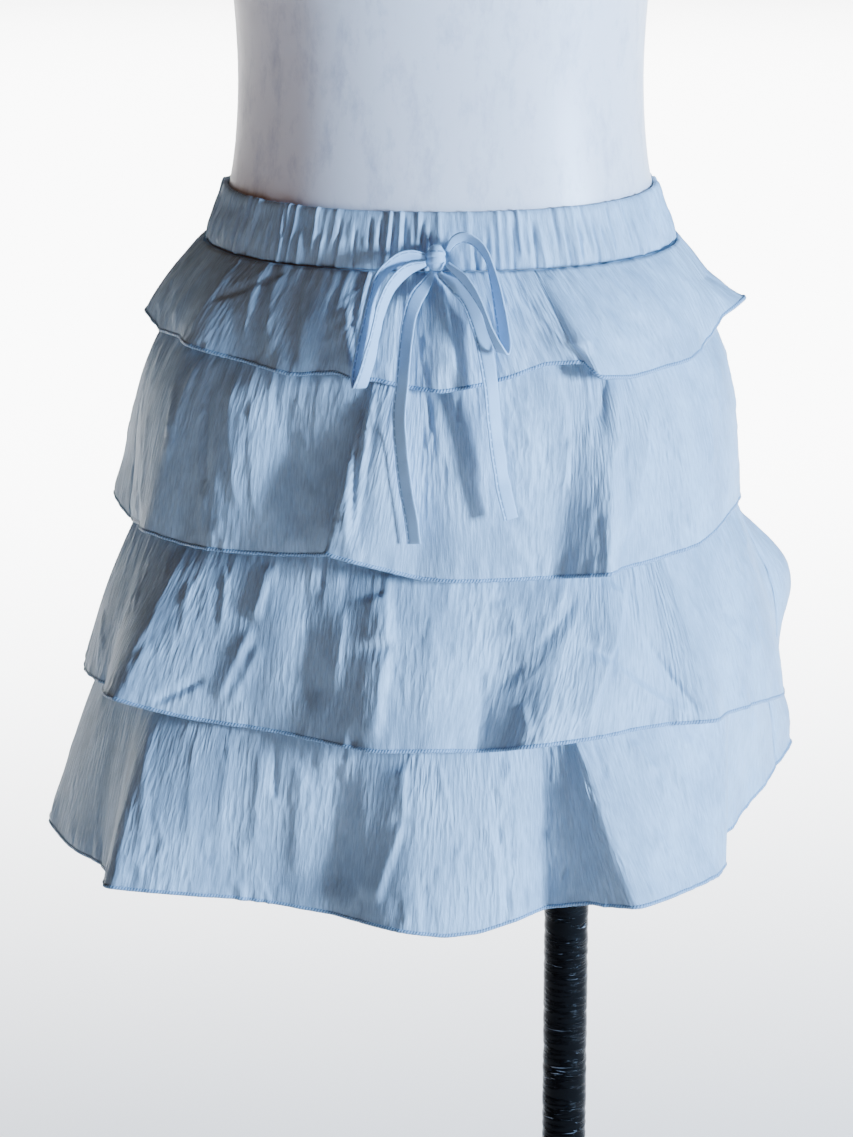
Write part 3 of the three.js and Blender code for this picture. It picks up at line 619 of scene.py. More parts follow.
# %% Main creases behind
# From one end to the other: place among the panel's fold corners (0 is its first) and share of the way
# down, twice, then the same three columns.
LAID = "from_corner from_share to_corner to_share height width easy"
BACK_CREASES = {
    "tier_1": columns(LAID, [
        (1.2, 0, 0.8, 0.9, 2, 4, 3), (2.9, 0, 3.2, 0.8, 1.6, 5, 2), (4.3, 0, 4, 0.9, -1.8, 5, 2),
        (5.4, 0, 5.7, 0.95, 2.2, 4, 3), (7.2, 0, 7.1, 0.8, 1.6, 5, 2), (8.6, 0, 8.2, 0.9, -1.8, 4, 2),
        (9.7, 0, 10, 0.9, 2, 4, 3), (11.5, 0, 11.3, 0.8, 1.6, 5, 2),
    ]),
    "tier_2": columns(LAID, [
        (1.1, 0.1, 1.4, 0.9, 2.2, 5, 3), (3, 0.15, 2.9, 0.95, 2.6, 4, 5), (4, 0.1, 4.2, 0.7, -2, 7, 1.4),
        (5.3, 0.1, 5, 0.9, 2.4, 4, 4), (6.9, 0.15, 7.2, 0.95, 2.6, 4, 5), (8.2, 0.1, 8, 0.6, -1.8, 6, 1.4),
        (9.1, 0.1, 9.4, 0.9, 2.4, 5, 4), (11, 0.2, 10.8, 0.95, 2.6, 4, 5), (12.3, 0.1, 12.4, 0.8, -2, 7, 1.4),
    ]),
    "tier_3": columns(LAID, [
        (1.2, 0.15, 1, 0.9, 2.2, 5, 3), (3.1, 0.2, 3.2, 0.95, 2.8, 4, 5), (5.2, 0.15, 5, 0.9, 2.6, 4, 5),
        (6.2, 0.2, 6.4, 0.8, -2.2, 8, 1.4), (7.2, 0.15, 7, 0.95, 2.4, 4, 4), (9.2, 0.2, 9.3, 0.95, 2.8, 4, 5),
        (10.4, 0.15, 10.2, 0.8, -2, 7, 1.4), (11.3, 0.2, 11.5, 0.9, 2.2, 5, 3),
    ]),
    "tier_4": columns(LAID, [
        (1.3, 0.2, 1.1, 0.9, 2.4, 5, 4), (3, 0.2, 3.2, 0.95, 2.8, 4, 5), (4.4, 0.2, 4.6, 0.8, -2.2, 8, 1.4),
        (5.2, 0.15, 5, 0.95, 2.8, 4, 5), (7.1, 0.2, 7.2, 0.9, 2.4, 4, 4), (9.2, 0.2, 9, 0.95, 2.8, 4, 5),
        (10.5, 0.15, 10.3, 0.8, -2.2, 8, 1.4), (11.2, 0.2, 11.4, 0.95, 2.4, 5, 4),
        (12.7, 0.2, 12.5, 0.9, 2, 5, 3),
    ]),
}


def main_creases(tier, side):
    if side == "front":
        return laid_on_cloth(tier)
    return list(zip(*BACK_CREASES[tier].values()))


print("creases behind:", sum(len(table["height"]) for table in BACK_CREASES.values()))

# %% [markdown]
# ## Frills and their hems
# Each frill panel is a fine grid over the fold shape, pushed in and out by its creases and by the gathers
# under its seam. Columns are spread evenly along the hem, so that folds get as many points as flat
# stretches. The merrowed edge is a thin roll swept along the last row.

# %% Frill builder
HEM_RADIUS = 1.0 * MM
SHEET = 0.8 * MM  # the wall that shows; the solid behind it is a little thicker
PITCH = {"front": 1.55 * MM, "back": 2.6 * MM}  # between the points of a panel's grid
PANEL_GAP = 0.15 * MM  # what each panel stops short of the next at the side seam
RIPPLE_PITCH = 4.5  # mm between the small waves along a hem
PROUD_DOWN = (0, 40, 70)  # mm below the seam
MOST_PROUD = {"front": (1.0, 3.2, 7.5), "back": (0.6, 1.3, 3.0)}  # mm that creases may stand out there
SEAM_FLARE, BACK_FLARE = 1.0, 2.1  # mm that a hem stands clear of the tier below, by a side seam and behind


def even_places(name, first, last, pitch):
    """Places along a hem, pitch metres apart, and how far along it each lies."""
    fine = np.linspace(first, last, (last - first) * 60 + 1)
    hem, _ = tier_points(name, fine[:, None], np.array([[1.0]]))
    along = run_length(hem, 0)[:, 0]
    even = np.linspace(0, along[-1], int(along[-1] / pitch) + 1)
    return np.interp(even, along, fine), even


def sweep_hem(name, line, radius):
    """A thin roll along a line of points."""
    along = np.gradient(line, axis=0)
    along /= np.linalg.norm(along, axis=1, keepdims=True)
    up = np.array([0, 0, 1.0]) - along * along[:, 2:3]
    up /= np.linalg.norm(up, axis=1, keepdims=True)
    side = np.cross(along, up)
    turns = np.linspace(0, -2 * math.pi, 9)
    points = np.stack([line + radius * (math.cos(a) * 1.25 * up + math.sin(a) * side) for a in turns], axis=1)
    points[:, -1] = points[:, 0]
    run = run_length(line[:, None], 0)
    uv = np.stack(np.broadcast_arrays(run, np.linspace(0, 6 * radius, 9)[None, :]), axis=-1)
    return grid_piece(name, points, uv, merrow_thread)


def build_frill(tier, side, seed):
    name = f"{tier}_{side}"
    rng = np.random.default_rng(seed)
    front_count = len(FRONT_FOLDS[tier])
    total = front_count + len(BACK_FOLDS[tier])
    first, last = (0, front_count - 1) if side == "front" else (front_count - 1, total)
    pitch = PITCH[side] * 1
    place, even = even_places(tier, first, last, pitch)
    length = abs(TIERS[tier]["hem"] - TIERS[tier]["seam"])
    t = np.linspace(0, 1, int(length * MM / pitch) + 1)[None, :]
    points, clear = tier_points(tier, place[:, None], t)
    width = even[-1] / MM
    across = np.repeat(even[:, None] / MM, t.shape[1], axis=1)
    down = run_length(points, 1) / MM
    lowest = float(down[:, -1].mean())

    def at(corner, share):
        column = np.searchsorted(place, first + corner).clip(0, len(place) - 1)
        return across[column, 0], down[column, round(share * (t.shape[1] - 1))]

    placed = [(*at(p0, s0), *at(p1, s1), *rest) for p0, s0, p1, s1, *rest in main_creases(tier, side)]
    gathers, u = [], 3.0
    while u < width - 3:
        fan = rng.normal(0, 3)
        reach = rng.uniform(0.3, 0.95) * min(lowest, 60)
        tall = rng.uniform(0.7, 1.9) * rng.choice([1, 1, -1])
        gathers.append((u, 0, u + fan, reach, tall, rng.uniform(2.4, 5), rng.uniform(0.6, 2.4)))
        u += rng.uniform(5, 12)
    small = crushed_patches(rng, width, lowest, 1500, (0.25, 0.85), (1.7, 3.6), (8, 28))
    height = crease_height(across, down, placed) + crease_height(across, down, small)
    height += crease_height(across, down, gathers, rooted=True)
    from_side = np.minimum(across, width - across)
    height -= 0.9 * np.exp(-((from_side / 2.2) ** 2))
    ripple = slow_waves(rng, across, width, RIPPLE_PITCH, 0.5)
    height += ripple * np.exp(-((lowest - down) / 7) ** 2)
    most_sunk = np.clip(0.3 + 0.7 * clear, 0.3, 5.5)
    height = np.clip(height, -most_sunk, np.interp(down, PROUD_DOWN, MOST_PROUD[side]))
    by_seam = np.exp(-((from_side / 16) ** 2))
    away_from_seam = BACK_FLARE if side == "back" else 0
    flare = away_from_seam + (SEAM_FLARE - away_from_seam) * by_seam
    height += flare * np.exp(-(((lowest - down) / 14) ** 2))
    points = points + outward(points) * (height * MM)[..., None]

    for edge, inner in ((0, 1), (-1, -2)):
        step = points[inner] - points[edge]
        points[edge] += step / np.linalg.norm(step, axis=-1, keepdims=True) * PANEL_GAP
    uv = np.stack([across * MM, down * MM], axis=-1)
    piece = thicken(grid_piece(name + "_cloth", points, uv, crinkled_cloth), SHEET)
    hem_line = points[:, -1] - outward(points)[:, -1] * SHEET / 2
    hem = sweep_hem(name + "_hem", hem_line, HEM_RADIUS)
    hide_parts(name)


# %% Build the four frills
SEEDS = {"front": 11, "back": 31}
for number, tier in enumerate(TIERS):
    for side in SEEDS:
        build_frill(tier, side, SEEDS[side] + number)

# %% [markdown]
# ## Waistband
# The waistband is a folded casing pulled together by wide elastic. Pulled cloth stands in close upright
# puckers, each a round ridge beside a sharp valley, and the folded top edge rolls over the elastic. It is a
# closed ring of profiles, with the puckers added by the same crease helper.

# %% Waistband
BAND_PER_DEGREE = 2.13  # mm of the band for each degree round
BAND_PROFILE = columns("out level", [  # from the inside bottom, over the rolled top, to the outside bottom
    (0.5, -31.5), (0.5, -24), (0.5, -12), (0.5, -3), (0.8, -0.9), (1.5, -0.1), (2.4, 0.2), (3.1, -0.6),
    (3.6, -2.2), (3.7, -4.5), (3.6, -8), (3.8, -12), (4.1, -16), (4.2, -20), (4.1, -24), (3.9, -27),
    (3.6, -29.4), (3.0, -30.9), (1.8, -31.5),
])


def build_waistband():
    rng = np.random.default_rng(5)
    steps = 1120
    fine = np.linspace(0, len(BAND_PROFILE["out"]) - 1, 27)
    out = np.interp(fine, np.arange(len(BAND_PROFILE["out"])), BAND_PROFILE["out"])
    level = np.interp(fine, np.arange(len(BAND_PROFILE["level"])), BAND_PROFILE["level"])
    degrees = (np.arange(steps) * 360 / steps - 180)[:, None]
    round_mm = BAND_PER_DEGREE * (degrees + 180)
    across = np.repeat(round_mm, len(out), axis=1)
    down = np.repeat(-level[None, :], steps, axis=0)
    full = BAND_PER_DEGREE * 360
    puckers, u = [], 1.0
    while u < full - 2:
        lean = rng.normal(0, 1.6)
        start, end = rng.choice([-9, -9, 4, 12]), rng.choice([41, 41, 27, 20])
        tall, wide, easy = rng.uniform(0.7, 2.0), rng.uniform(1.6, 3.4), rng.uniform(0.6, 1.8)
        puckers.append((u, start, u + lean, end, tall, wide, easy))
        if rng.random() < 0.6:
            start = rng.uniform(-6, 14)
            puckers.append((u + 2.4, start, u + 2.4 + lean, start + rng.uniform(12, 34), -1.5, 1.3, 1.2))
        u += rng.uniform(3.6, 8.2)
    height = crease_height(across, down, puckers)
    height += crease_height(across, down, crushed_patches(rng, full, 31, 500, (0.1, 0.4), (1, 2), (5, 14)))
    outside = np.clip((fine - 3) / 3, 0, 1)[None, :] * np.clip((18.5 - fine) / 1.5, 0.4, 1)[None, :]
    proud = out[None, :] + height * outside
    points = ring_points(line_section(level[None, :]), degrees, proud, level[None, :])
    points[..., 2] += 0.5 * MM * np.clip(height, 0, 2) * np.exp(-(down / 2.0) ** 2)
    uv = np.stack([across * MM, np.repeat(run_length(points, 1)[:1], steps, axis=0)], axis=-1)
    piece = grid_piece("waistband_casing", points, uv, casing_cloth, closed=True)
    return piece, len(puckers)


waistband, pucker_count = build_waistband()
thicken(waistband, SHEET)
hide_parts("waistband")
print("waistband puckers:", pucker_count)

# %% [markdown]
# ## Skirt base and shorts
# Under the frills a plain skirt base carries their seams, and the shorts make the garment a skort. They
# hardly show, so they are smooth panels with a few soft creases, cut to end just below the crotch.

# %% Skirt base
BASE_HEM = -272


def plain_creases(across, down, seed):
    rng = np.random.default_rng(seed)
    width, length = float(across.max()), float(down.max())
    creases = crushed_patches(rng, width, length, 6000, (0.1, 0.35), (3, 7), (20, 60))
    return crease_height(across, down, creases)


for number, (side, start) in enumerate((("front", -90), ("back", 90))):
    degrees = np.linspace(start + 0.06, start + 179.94, 90)[:, None]
    level = np.linspace(SEAM_LEVEL, BASE_HEM, 50)[None, :]
    points = ring_points(line_section(level), degrees, BASE_EASE + CLOTH, level)
    across, down = run_length(points, 0) / MM, run_length(points, 1) / MM
    sunk = np.abs(plain_creases(across, down, 51 + number)) * 0.3 * MM
    points = points - outward(points) * sunk[..., None]
    uv = np.stack([across * MM, down * MM], axis=-1)
    base = grid_piece(f"skirt_base_{side}_cloth", points, uv, lining_cloth)
    thicken(base, SHEET)
    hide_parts(f"skirt_base_{side}")
    print(base.name, "made")

# %% Shorts
SHORTS_ROWS = columns("level leg", [
    (SEAM_LEVEL, 0), (-75, 0), (-120, 0), (-170, 0), (-225, 0), (-260, 0.2), (-276, 0.5), (-287, 0.8),
    (-294, 1), (-322, 1), (-350, 1),
])
CROTCH, HIP_LEVEL, LEG_X, LEG_Y, LEG_HALF = -294, -170, 83, 5, 82.85

for number, (side, mirror) in enumerate((("left", -1), ("right", 1))):
    share = np.linspace(0.0006, 0.9994, 90)[:, None]
    numbers = np.arange(len(SHORTS_ROWS["level"]))
    row = np.linspace(0, numbers[-1], 61)
    level = np.interp(row, numbers, SHORTS_ROWS["level"])[None, :]
    leg = np.interp(row, numbers, SHORTS_ROWS["leg"])[None, :, None]
    hips = ring_points(line_section(np.maximum(level, HIP_LEVEL)), 180 * share, SHORTS_EASE + CLOTH, level)
    half = LEG_HALF - np.maximum(0, CROTCH - level) * 0.04
    turn = np.radians(360 * share - 180)
    ring = np.stack(np.broadcast_arrays(
        (LEG_X + half * np.cos(turn)) * MM, (LEG_Y + half * np.sin(turn)) * MM, WAIST + level * MM), axis=-1)
    points = hips * (1 - leg) + ring * leg
    if mirror < 0:
        points = points[::-1] * np.array([-1, 1, 1])
    across, down = run_length(points, 0) / MM, run_length(points, 1) / MM
    sunk = np.abs(plain_creases(across, down, 61 + number)) * 0.4 * MM
    points = points - outward(points) * sunk[..., None]
    uv = np.stack([across * MM, down * MM], axis=-1)
    shorts = grid_piece(f"shorts_{side}_cloth", points, uv, lining_cloth)
    thicken(shorts, SHEET)
    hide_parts(f"shorts_{side}")
    print(shorts.name, "made")

# %% [markdown]
# ## The bow
# The bow is a narrow strip, folded along its length and edge stitched. Two loops and two tails leave a
# small knot in front of the waistband. Each is a flat cord with a route of its own. The strip starts flat
# side to the front, is carried along its route and is twisted a little on the way, so each loop folds over
# at its lowest point.

# %% Stitched strip material
STITCH = 2.4 * MM
STITCH_LINE = 2.9 * MM  # from the strip's middle
STRIP_WIDTH = 8.4


def stitched_strip_material():
    """Folded cloth with one line of stitching along its open edge. UV: metres along, metres across."""
    material, tree = new_material("edge-stitched polyester strip")
    uv = cloth_map(tree)
    axes = add_node(tree, "ShaderNodeSeparateXYZ", {0: uv})
    off_line = maths(tree, "ABSOLUTE", maths(tree, "SUBTRACT", axes.outputs["Y"], STITCH_LINE))
    near = mapped(tree, off_line, 0.15 * MM, 0.6 * MM, 1, 0)
    step = maths(tree, "PINGPONG", maths(tree, "MULTIPLY", axes.outputs["X"], 1 / STITCH), 1)
    pull = maths(tree, "MULTIPLY", near, mapped(tree, step, 0.15, 0.35))
    cloth = relief(tree, noise(tree, uv, 1 / (1.2 * MM)), 0.3, 0.3 * MM)
    finish_material(
        tree, Base_Color=blended(tree, pull, "#a9cae6", "#7f9cb9"), Roughness=0.55,
        Specular_IOR_Level=0.35, Sheen_Weight=0.1, Sheen_Roughness=0.45,
        Normal=relief(tree, near, 0.5, 0.35 * MM, over=cloth, sunk=True))
    return material


stitched_strip = stitched_strip_material()
print("material:", stitched_strip.name)

# %% Bow routes
TIE_PATHS = {  # x and y in mm, level in mm below the waistband's top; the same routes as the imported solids
    "tie_loop_left": [
        (-8.6, -101.5, -21.5), (-17, -104, -20.4), (-26, -107, -24), (-33, -109, -30.7), (-37, -112, -41),
        (-40.7, -118, -58), (-44, -122.6, -75), (-45.2, -124.8, -85.5), (-44.6, -126.7, -88.6),
        (-43.2, -128.6, -85.5), (-39.5, -128.8, -74), (-35.8, -125.5, -59.6), (-32, -121, -44.8),
        (-26.5, -116, -34), (-18, -110, -27), (-8.6, -106.3, -24.5),
    ],
    "tie_loop_right": [
        (3.4, -101.5, -18.6), (7.4, -102.5, -12.8), (12.5, -104, -10.7), (18.7, -105, -13.2),
        (24.7, -108, -20.5), (28.5, -111, -32.5), (31.1, -116, -45), (33.2, -121.6, -57.3),
        (34, -124.4, -66), (33, -126.5, -69.3), (31, -128.3, -66), (26.5, -126.8, -57),
        (21.9, -122, -45.4), (13.8, -115, -33.3), (3.2, -106.3, -25),
    ],
    "tie_tail_left": [
        (-4.7, -100, -29.9), (-5.4, -100.6, -32), (-8.6, -104, -36.5), (-13.7, -110, -43),
        (-17.5, -115, -53.5), (-19.6, -121, -69), (-21.2, -126.5, -86), (-22.9, -127.5, -104),
        (-21.8, -129, -123), (-19.7, -131, -142), (-16.4, -133, -161), (-14.8, -134, -174.6),
    ],
    "tie_tail_right": [
        (-1.1, -102.6, -29.9), (-0.4, -103.2, -31.6), (6, -107.4, -35.5), (13.5, -111.5, -42.2),
        (19.8, -116.5, -55.8), (24, -122, -71), (26.9, -127.5, -89), (28.6, -129, -108.7),
        (30.8, -131, -125), (34, -133, -144), (38, -134, -160.4),
    ],
}


def smooth_route(points, pitch):
    """Evenly spaced points on a curve through listed ones (a centripetal Catmull-Rom curve), in metres."""
    p = np.array([(x * MM, y * MM, WAIST + z * MM) for x, y, z in points])
    p = np.vstack([2 * p[0] - p[1], p, 2 * p[-1] - p[-2]])
    knots = np.concatenate([[0], np.cumsum(np.sqrt(np.linalg.norm(np.diff(p, axis=0), axis=1)))])
    pieces = []
    for i in range(1, len(p) - 2):
        a, b, c, d = knots[i - 1 : i + 3]
        u = np.linspace(b, c, 40, endpoint=i == len(p) - 3)[:, None]
        first = (b - u) / (b - a) * p[i - 1] + (u - a) / (b - a) * p[i]
        middle = (c - u) / (c - b) * p[i] + (u - b) / (c - b) * p[i + 1]
        last = (d - u) / (d - c) * p[i + 1] + (u - c) / (d - c) * p[i + 2]
        pieces.append((c - u) / (c - b) * ((c - u) / (c - a) * first + (u - a) / (c - a) * middle)
                      + (u - b) / (c - b) * ((d - u) / (d - b) * middle + (u - b) / (d - b) * last))
    dense = np.vstack(pieces)
    along = run_length(dense[:, None], 0)[:, 0]
    even = np.linspace(0, along[-1], int(along[-1] / pitch) + 1)
    return np.stack([np.interp(even, along, dense[:, k]) for k in range(3)], axis=1), even


print("routes:", list(TIE_PATHS))

# %% Bow strips
PINCHED, PINCH_LENGTH = 0.35, 14  # share of the strip's width at the knot, and mm until it is full
WIDTH_PITCH, WAVE_PITCH = 6, 8  # mm between the strip's small changes of width, and between its waves
TWISTS = {  # degrees that the strip is turned about its own run, at even steps from its exit to its end
    "tie_loop_left": (0, 24, 30, 10, 0, -8, -22, -14, 0),
    "tie_loop_right": (0, -26, -34, -14, 0, 20, 30, 16, 0),
    "tie_tail_left": (0, -26, -38, -40, -38, -36, -30),
    "tie_tail_right": (0, -20, 4, 22, 24, 22, 14),
}


def strip_section():
    """One flat side of the strip from edge to edge: places across (-1 to 1) and its share of the thickness.
    It dips along the stitch line and ends in crisp folded edges."""
    across = np.array([-1, -0.985, -0.93, -0.7, -0.4, 0, 0.3, 0.6, 0.69, 0.78, 0.93, 0.985, 1])
    full = np.array([0.0, 0.75, 1.0, 1.04, 1.08, 1.1, 1.08, 1.0, 0.72, 1.0, 1.0, 0.75, 0.0])
    return across, full


def build_strip(name, seed):
    rng = np.random.default_rng(seed)
    line, along = smooth_route(TIE_PATHS[name], 1.0 * MM)
    tangent = np.gradient(line, axis=0)
    tangent /= np.linalg.norm(tangent, axis=1, keepdims=True)
    across = np.cross(tangent[0], (0, -1, 0))
    sides = []
    for t in tangent:
        across = across - t * (across @ t)
        across = across / np.linalg.norm(across)
        sides.append(across)
    sides = np.array(sides)
    facing = np.cross(sides, tangent)
    steps = np.linspace(0, along[-1], len(TWISTS[name]))
    twist = np.radians(np.interp(along, steps, TWISTS[name]))[:, None]
    cos, sin = np.cos(twist), np.sin(twist)
    sides, facing = sides * cos + facing * sin, facing * cos - sides * sin
    total = along[-1] / MM
    run = along / MM
    from_knot = np.minimum(run, total - run) if "loop" in name else run
    width = STRIP_WIDTH * np.minimum(1, PINCHED + (1 - PINCHED) * from_knot / PINCH_LENGTH)
    uneven = slow_waves(rng, run, total, WIDTH_PITCH, 1)
    width = width * (1 + 0.02 * uneven)
    thick = 1.0 + 0.9 * np.clip(1 - from_knot / PINCH_LENGTH, 0, 1)
    wave = slow_waves(rng, run, total, WAVE_PITCH, 0.3)
    share, full = strip_section()
    share = np.concatenate([share, share[-2:0:-1]])
    full = np.concatenate([full, -full[-2:0:-1]])
    lift = share[:, None] * wave[None, :] * 0.8  # the edges rise and dip a little
    points = (line[None] + sides[None] * (share[:, None] * width / 2 * MM)[..., None]
              + facing[None] * ((full[:, None] * thick / 2 + lift) * MM)[..., None])
    uv = np.stack(np.broadcast_arrays(along[None, :], (share * STRIP_WIDTH / 2 * MM)[:, None]), axis=-1)
    piece = strip_mesh(name + "_strip", points, uv)
    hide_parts(name)
    return piece, line


def strip_mesh(name, points, uv):
    """A closed tube from points[around][along] with both ends capped."""
    around, along = points.shape[:2]
    index = np.arange(around * along).reshape(around, along)
    nxt = np.roll(index, -1, axis=0)
    sides = np.stack([index[:, :-1], nxt[:, :-1], nxt[:, 1:], index[:, 1:]], axis=-1).reshape(-1, 4)
    faces = sides.tolist() + [index[::-1, 0].tolist(), index[:, -1].tolist()]
    corner_uv = uv.reshape(-1, 2)[np.concatenate([np.array(f) for f in faces])]
    smooth = [True] * len(sides) + [False] * 2
    return mesh_piece(name, points, faces, corner_uv, smooth, stitched_strip)


# %% Knot
KNOT_X, KNOT_Y, KNOT_LEVEL = -2.9, -101.3, -22.4
KNOT_BACK = 0.86  # its back half is flattened against the waistband
KNOT_ROWS = columns("level wide deep", [
    (-15.3, 0.6, 0.8), (-15.6, 2.4, 2.6), (-16.4, 3.6, 3.9), (-18.2, 4.7, 5.1), (-20.4, 4.9, 5.5),
    (-22.4, 4.7, 5.4), (-24.4, 4.9, 5.5), (-26.6, 4.8, 5.3), (-28.4, 3.9, 4.3), (-29.2, 2.6, 2.8),
    (-29.5, 0.6, 0.8),
])


def build_knot():
    """A wad of strip with one turn wrapped over it, so two edges run slanting across its front."""
    fine = np.linspace(0, len(KNOT_ROWS["level"]) - 1, 44)
    rows = {key: np.interp(fine, np.arange(len(KNOT_ROWS[key])), KNOT_ROWS[key]) for key in KNOT_ROWS}
    angle = np.linspace(0, 2 * math.pi, 56, endpoint=False)[:, None]
    slant = rows["level"][None, :] - KNOT_LEVEL + 2.0 * np.sin(angle)
    wrap = 0.45 * np.tanh((3.6 - np.abs(slant)) / 0.35)
    pleat = -0.4 * np.exp(-(((slant - 0.8 * np.cos(angle)) / 0.5) ** 2))
    push = (wrap + pleat) * np.clip((rows["wide"][None, :] - 2) / 2, 0, 1)
    x = KNOT_X + (rows["wide"] + push) * np.cos(angle)
    y = KNOT_Y + (rows["deep"] + push) * np.sin(angle) * np.where(np.sin(angle) > 0, KNOT_BACK, 1)
    points = np.stack(np.broadcast_arrays(x * MM, y * MM, WAIST + rows["level"] * MM), axis=-1)
    uv = np.stack(np.broadcast_arrays(angle * 5 * MM, slant * MM), axis=-1)
    return strip_mesh("tie_knot_wrap", points[::-1], uv[::-1])


knot = build_knot()
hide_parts("tie_knot")
for number, name in enumerate(TIE_PATHS):
    piece, line = build_strip(name, 71 + number)

# %% [markdown]
# ## The form
# The form is a smooth moulded torso with a satin coat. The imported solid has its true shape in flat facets,
# so a copy of it, merged and subdivided, is the same form with a round surface. Merging comes first,
# because loose triangles would split apart when they are subdivided.

# %% Form material
# Off-white satin over a moulding: a broad, soft highlight, faint grey scuffs and a slow unevenness.


def satin_coat_material():
    material, tree = new_material("off-white satin coat on a moulding")
    place = own_place(tree)
    cloudy = noise(tree, place, 1 / (60 * MM), detail=4, roughness=0.6)
    scuffs = noise(tree, stretched(tree, place, 16 * MM, 16 * MM, 42 * MM), detail=6, roughness=0.72)
    coat = blended(tree, cloudy, "#e9e5e8", "#f6f3f4")
    finish_material(
        tree, Base_Color=blended(tree, mapped(tree, scuffs, 0.5, 0.74, 0, 0.9), coat, "#c3c2cc"),
        Roughness=mapped(tree, scuffs, 0.3, 0.7, 0.34, 0.46), Coat_Weight=0.12, Coat_Roughness=0.3,
        Normal=relief(tree, cloudy, 0.25, 1.2 * MM))
    return material


satin_coat = satin_coat_material()
print("material:", satin_coat.name)

# %% Smooth form


def only(piece):
    """Selects one object alone and makes it active."""
    bpy.ops.object.select_all(action="DESELECT")
    piece.select_set(True)
    bpy.context.view_layer.objects.active = piece
    return piece


def wear(piece, material):
    piece.data.materials.clear()
    piece.data.materials.append(material)
    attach(piece, "root")
    return piece


def smooth_copy(node, name, levels):
    """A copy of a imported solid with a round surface."""
    source = bpy.data.objects[node]
    piece = bpy.data.objects.new(name, source.data.copy())
    bpy.context.scene.collection.objects.link(piece)
    only(piece)
    bpy.ops.object.mode_set(mode="EDIT")
    bpy.ops.mesh.select_all(action="SELECT")
    bpy.ops.mesh.remove_doubles(threshold=0.05 * MM)
    bpy.ops.mesh.tris_convert_to_quads(face_threshold=0.7, shape_threshold=0.7)
    bpy.ops.mesh.normals_make_consistent(inside=False)
    bpy.ops.object.mode_set(mode="OBJECT")
    rounding = piece.modifiers.new("rounding", "SUBSURF")
    rounding.levels = rounding.render_levels = levels
    bpy.ops.object.modifier_apply(modifier=rounding.name)
    bpy.ops.object.shade_smooth()
    return piece


form = wear(smooth_copy("form_torso", "form_torso_skin", 2), satin_coat)
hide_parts("form_torso")
print("form faces:", len(form.data.polygons))

# %% [markdown]
# ## The stand
# Glossy black tape is wound round a steel pole. Each turn overlaps the last by a few millimetres, and the
# film creases across as it is pulled round, so the pole is ringed by small wrinkles. Pale streaks on the
# wrinkles are painted glints, a painted highlight in the tape's colour, the same all round. It is one ring of
# edges pulled up step by step, each step a little wider or narrower and tipped a little.

# %% Tape material


def tape_material():
    material, tree = new_material("glossy black PVC tape")
    place = stretched(tree, own_place(tree), 22 * MM, 22 * MM, 2.6 * MM, tilt=(0.05, 0.09, 0))
    wrinkles = noise(tree, place, detail=4, roughness=0.6, distortion=0.6)
    # pale streaks where the wrinkle noise peaks are painted glints, a painted highlight in the base colour
    painted_glints = mapped(tree, wrinkles, 0.645, 0.72, 0, 0.8)
    finish_material(
        tree, Base_Color=blended(tree, painted_glints, "#020203", "#a4aab2"), Roughness=0.1,
        Specular_IOR_Level=0.1, Normal=relief(tree, mapped(tree, wrinkles, 0.5, 0.62), 0.6, 0.5 * MM))
    return material


black_tape = tape_material()
print("material:", black_tape.name)

# %% Taped pole
low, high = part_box("stand_pole")
POLE_CENTRE = ((low[0] + high[0]) / 2, (low[1] + high[1]) / 2)
POLE_RADIUS = (high[0] - low[0]) / 2


def build_pole():
    rng = np.random.default_rng(9)
    bpy.ops.object.select_all(action="DESELECT")
    bpy.ops.mesh.primitive_circle_add(
        vertices=40, radius=POLE_RADIUS, fill_type="NGON", location=(*POLE_CENTRE, low[2]))
    piece = bpy.context.active_object
    piece.name = "stand_pole_tape"
    bpy.ops.object.transform_apply(location=True, rotation=True, scale=True)
    bpy.ops.object.mode_set(mode="EDIT")
    bpy.ops.mesh.select_all(action="SELECT")
    bpy.ops.mesh.extrude_region_move(TRANSFORM_OT_translate={"value": (0, 0, 1 * MM)})
    z, size = low[2] + 1 * MM, 1.0
    while z < high[2] - 3 * MM:
        step = float(rng.uniform(1.4, 3.4)) * MM
        wanted = float(rng.choice([1.0, 0.992, 0.98, 0.965], p=[0.4, 0.25, 0.2, 0.15]))
        bpy.ops.mesh.extrude_region_move(TRANSFORM_OT_translate={"value": (0, 0, step)})
        z += step
        bpy.ops.transform.resize(
            value=(wanted / size, wanted / size, 1), center_override=(*POLE_CENTRE, z))
        tip = float(rng.normal(0, 0.02))
        bpy.ops.transform.rotate(value=tip, orient_axis="Y", center_override=(*POLE_CENTRE, z))
        bpy.ops.transform.rotate(value=-tip * 0.2, orient_axis="Y", center_override=(*POLE_CENTRE, z))
        size = wanted
    bpy.ops.transform.translate(value=(0, 0, high[2] - z - 0.2 * MM))
    bpy.ops.object.mode_set(mode="OBJECT")
    mesh = piece.data
    for vertex in mesh.vertices:  # the flat ends stay inside the pole's own length
        vertex.co.z = min(max(vertex.co.z, low[2]), high[2])
    bpy.ops.object.shade_smooth_by_angle(angle=math.radians(60))
    return piece


pole = wear(build_pole(), black_tape)
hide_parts("stand_pole")
print("pole faces:", len(pole.data.polygons))

# %% [markdown]
# ### Base, collar and socket
# The round base is sheet steel with a fine black powder coat, which gives a soft highlight broken by a fine
# orange-peel grain. A welded collar holds the pole in it, and a socket of the same finish carries the form.

# %% Powder coat material


def powder_coat_material():
    material, tree = new_material("black powder-coated steel")
    place = own_place(tree)
    dust = noise(tree, place, 1 / (70 * MM), detail=5, roughness=0.65)
    finish_material(
        tree, Base_Color=blended(tree, dust, "#17181a", "#2b2c2f"),
        Roughness=mapped(tree, dust, 0.3, 0.7, 0.36, 0.52),
        Normal=relief(tree, noise(tree, place, 1 / (1.1 * MM)), 0.35, 0.15 * MM))
    return material


powder_coat = powder_coat_material()
print("material:", powder_coat.name)

# %% Turned parts


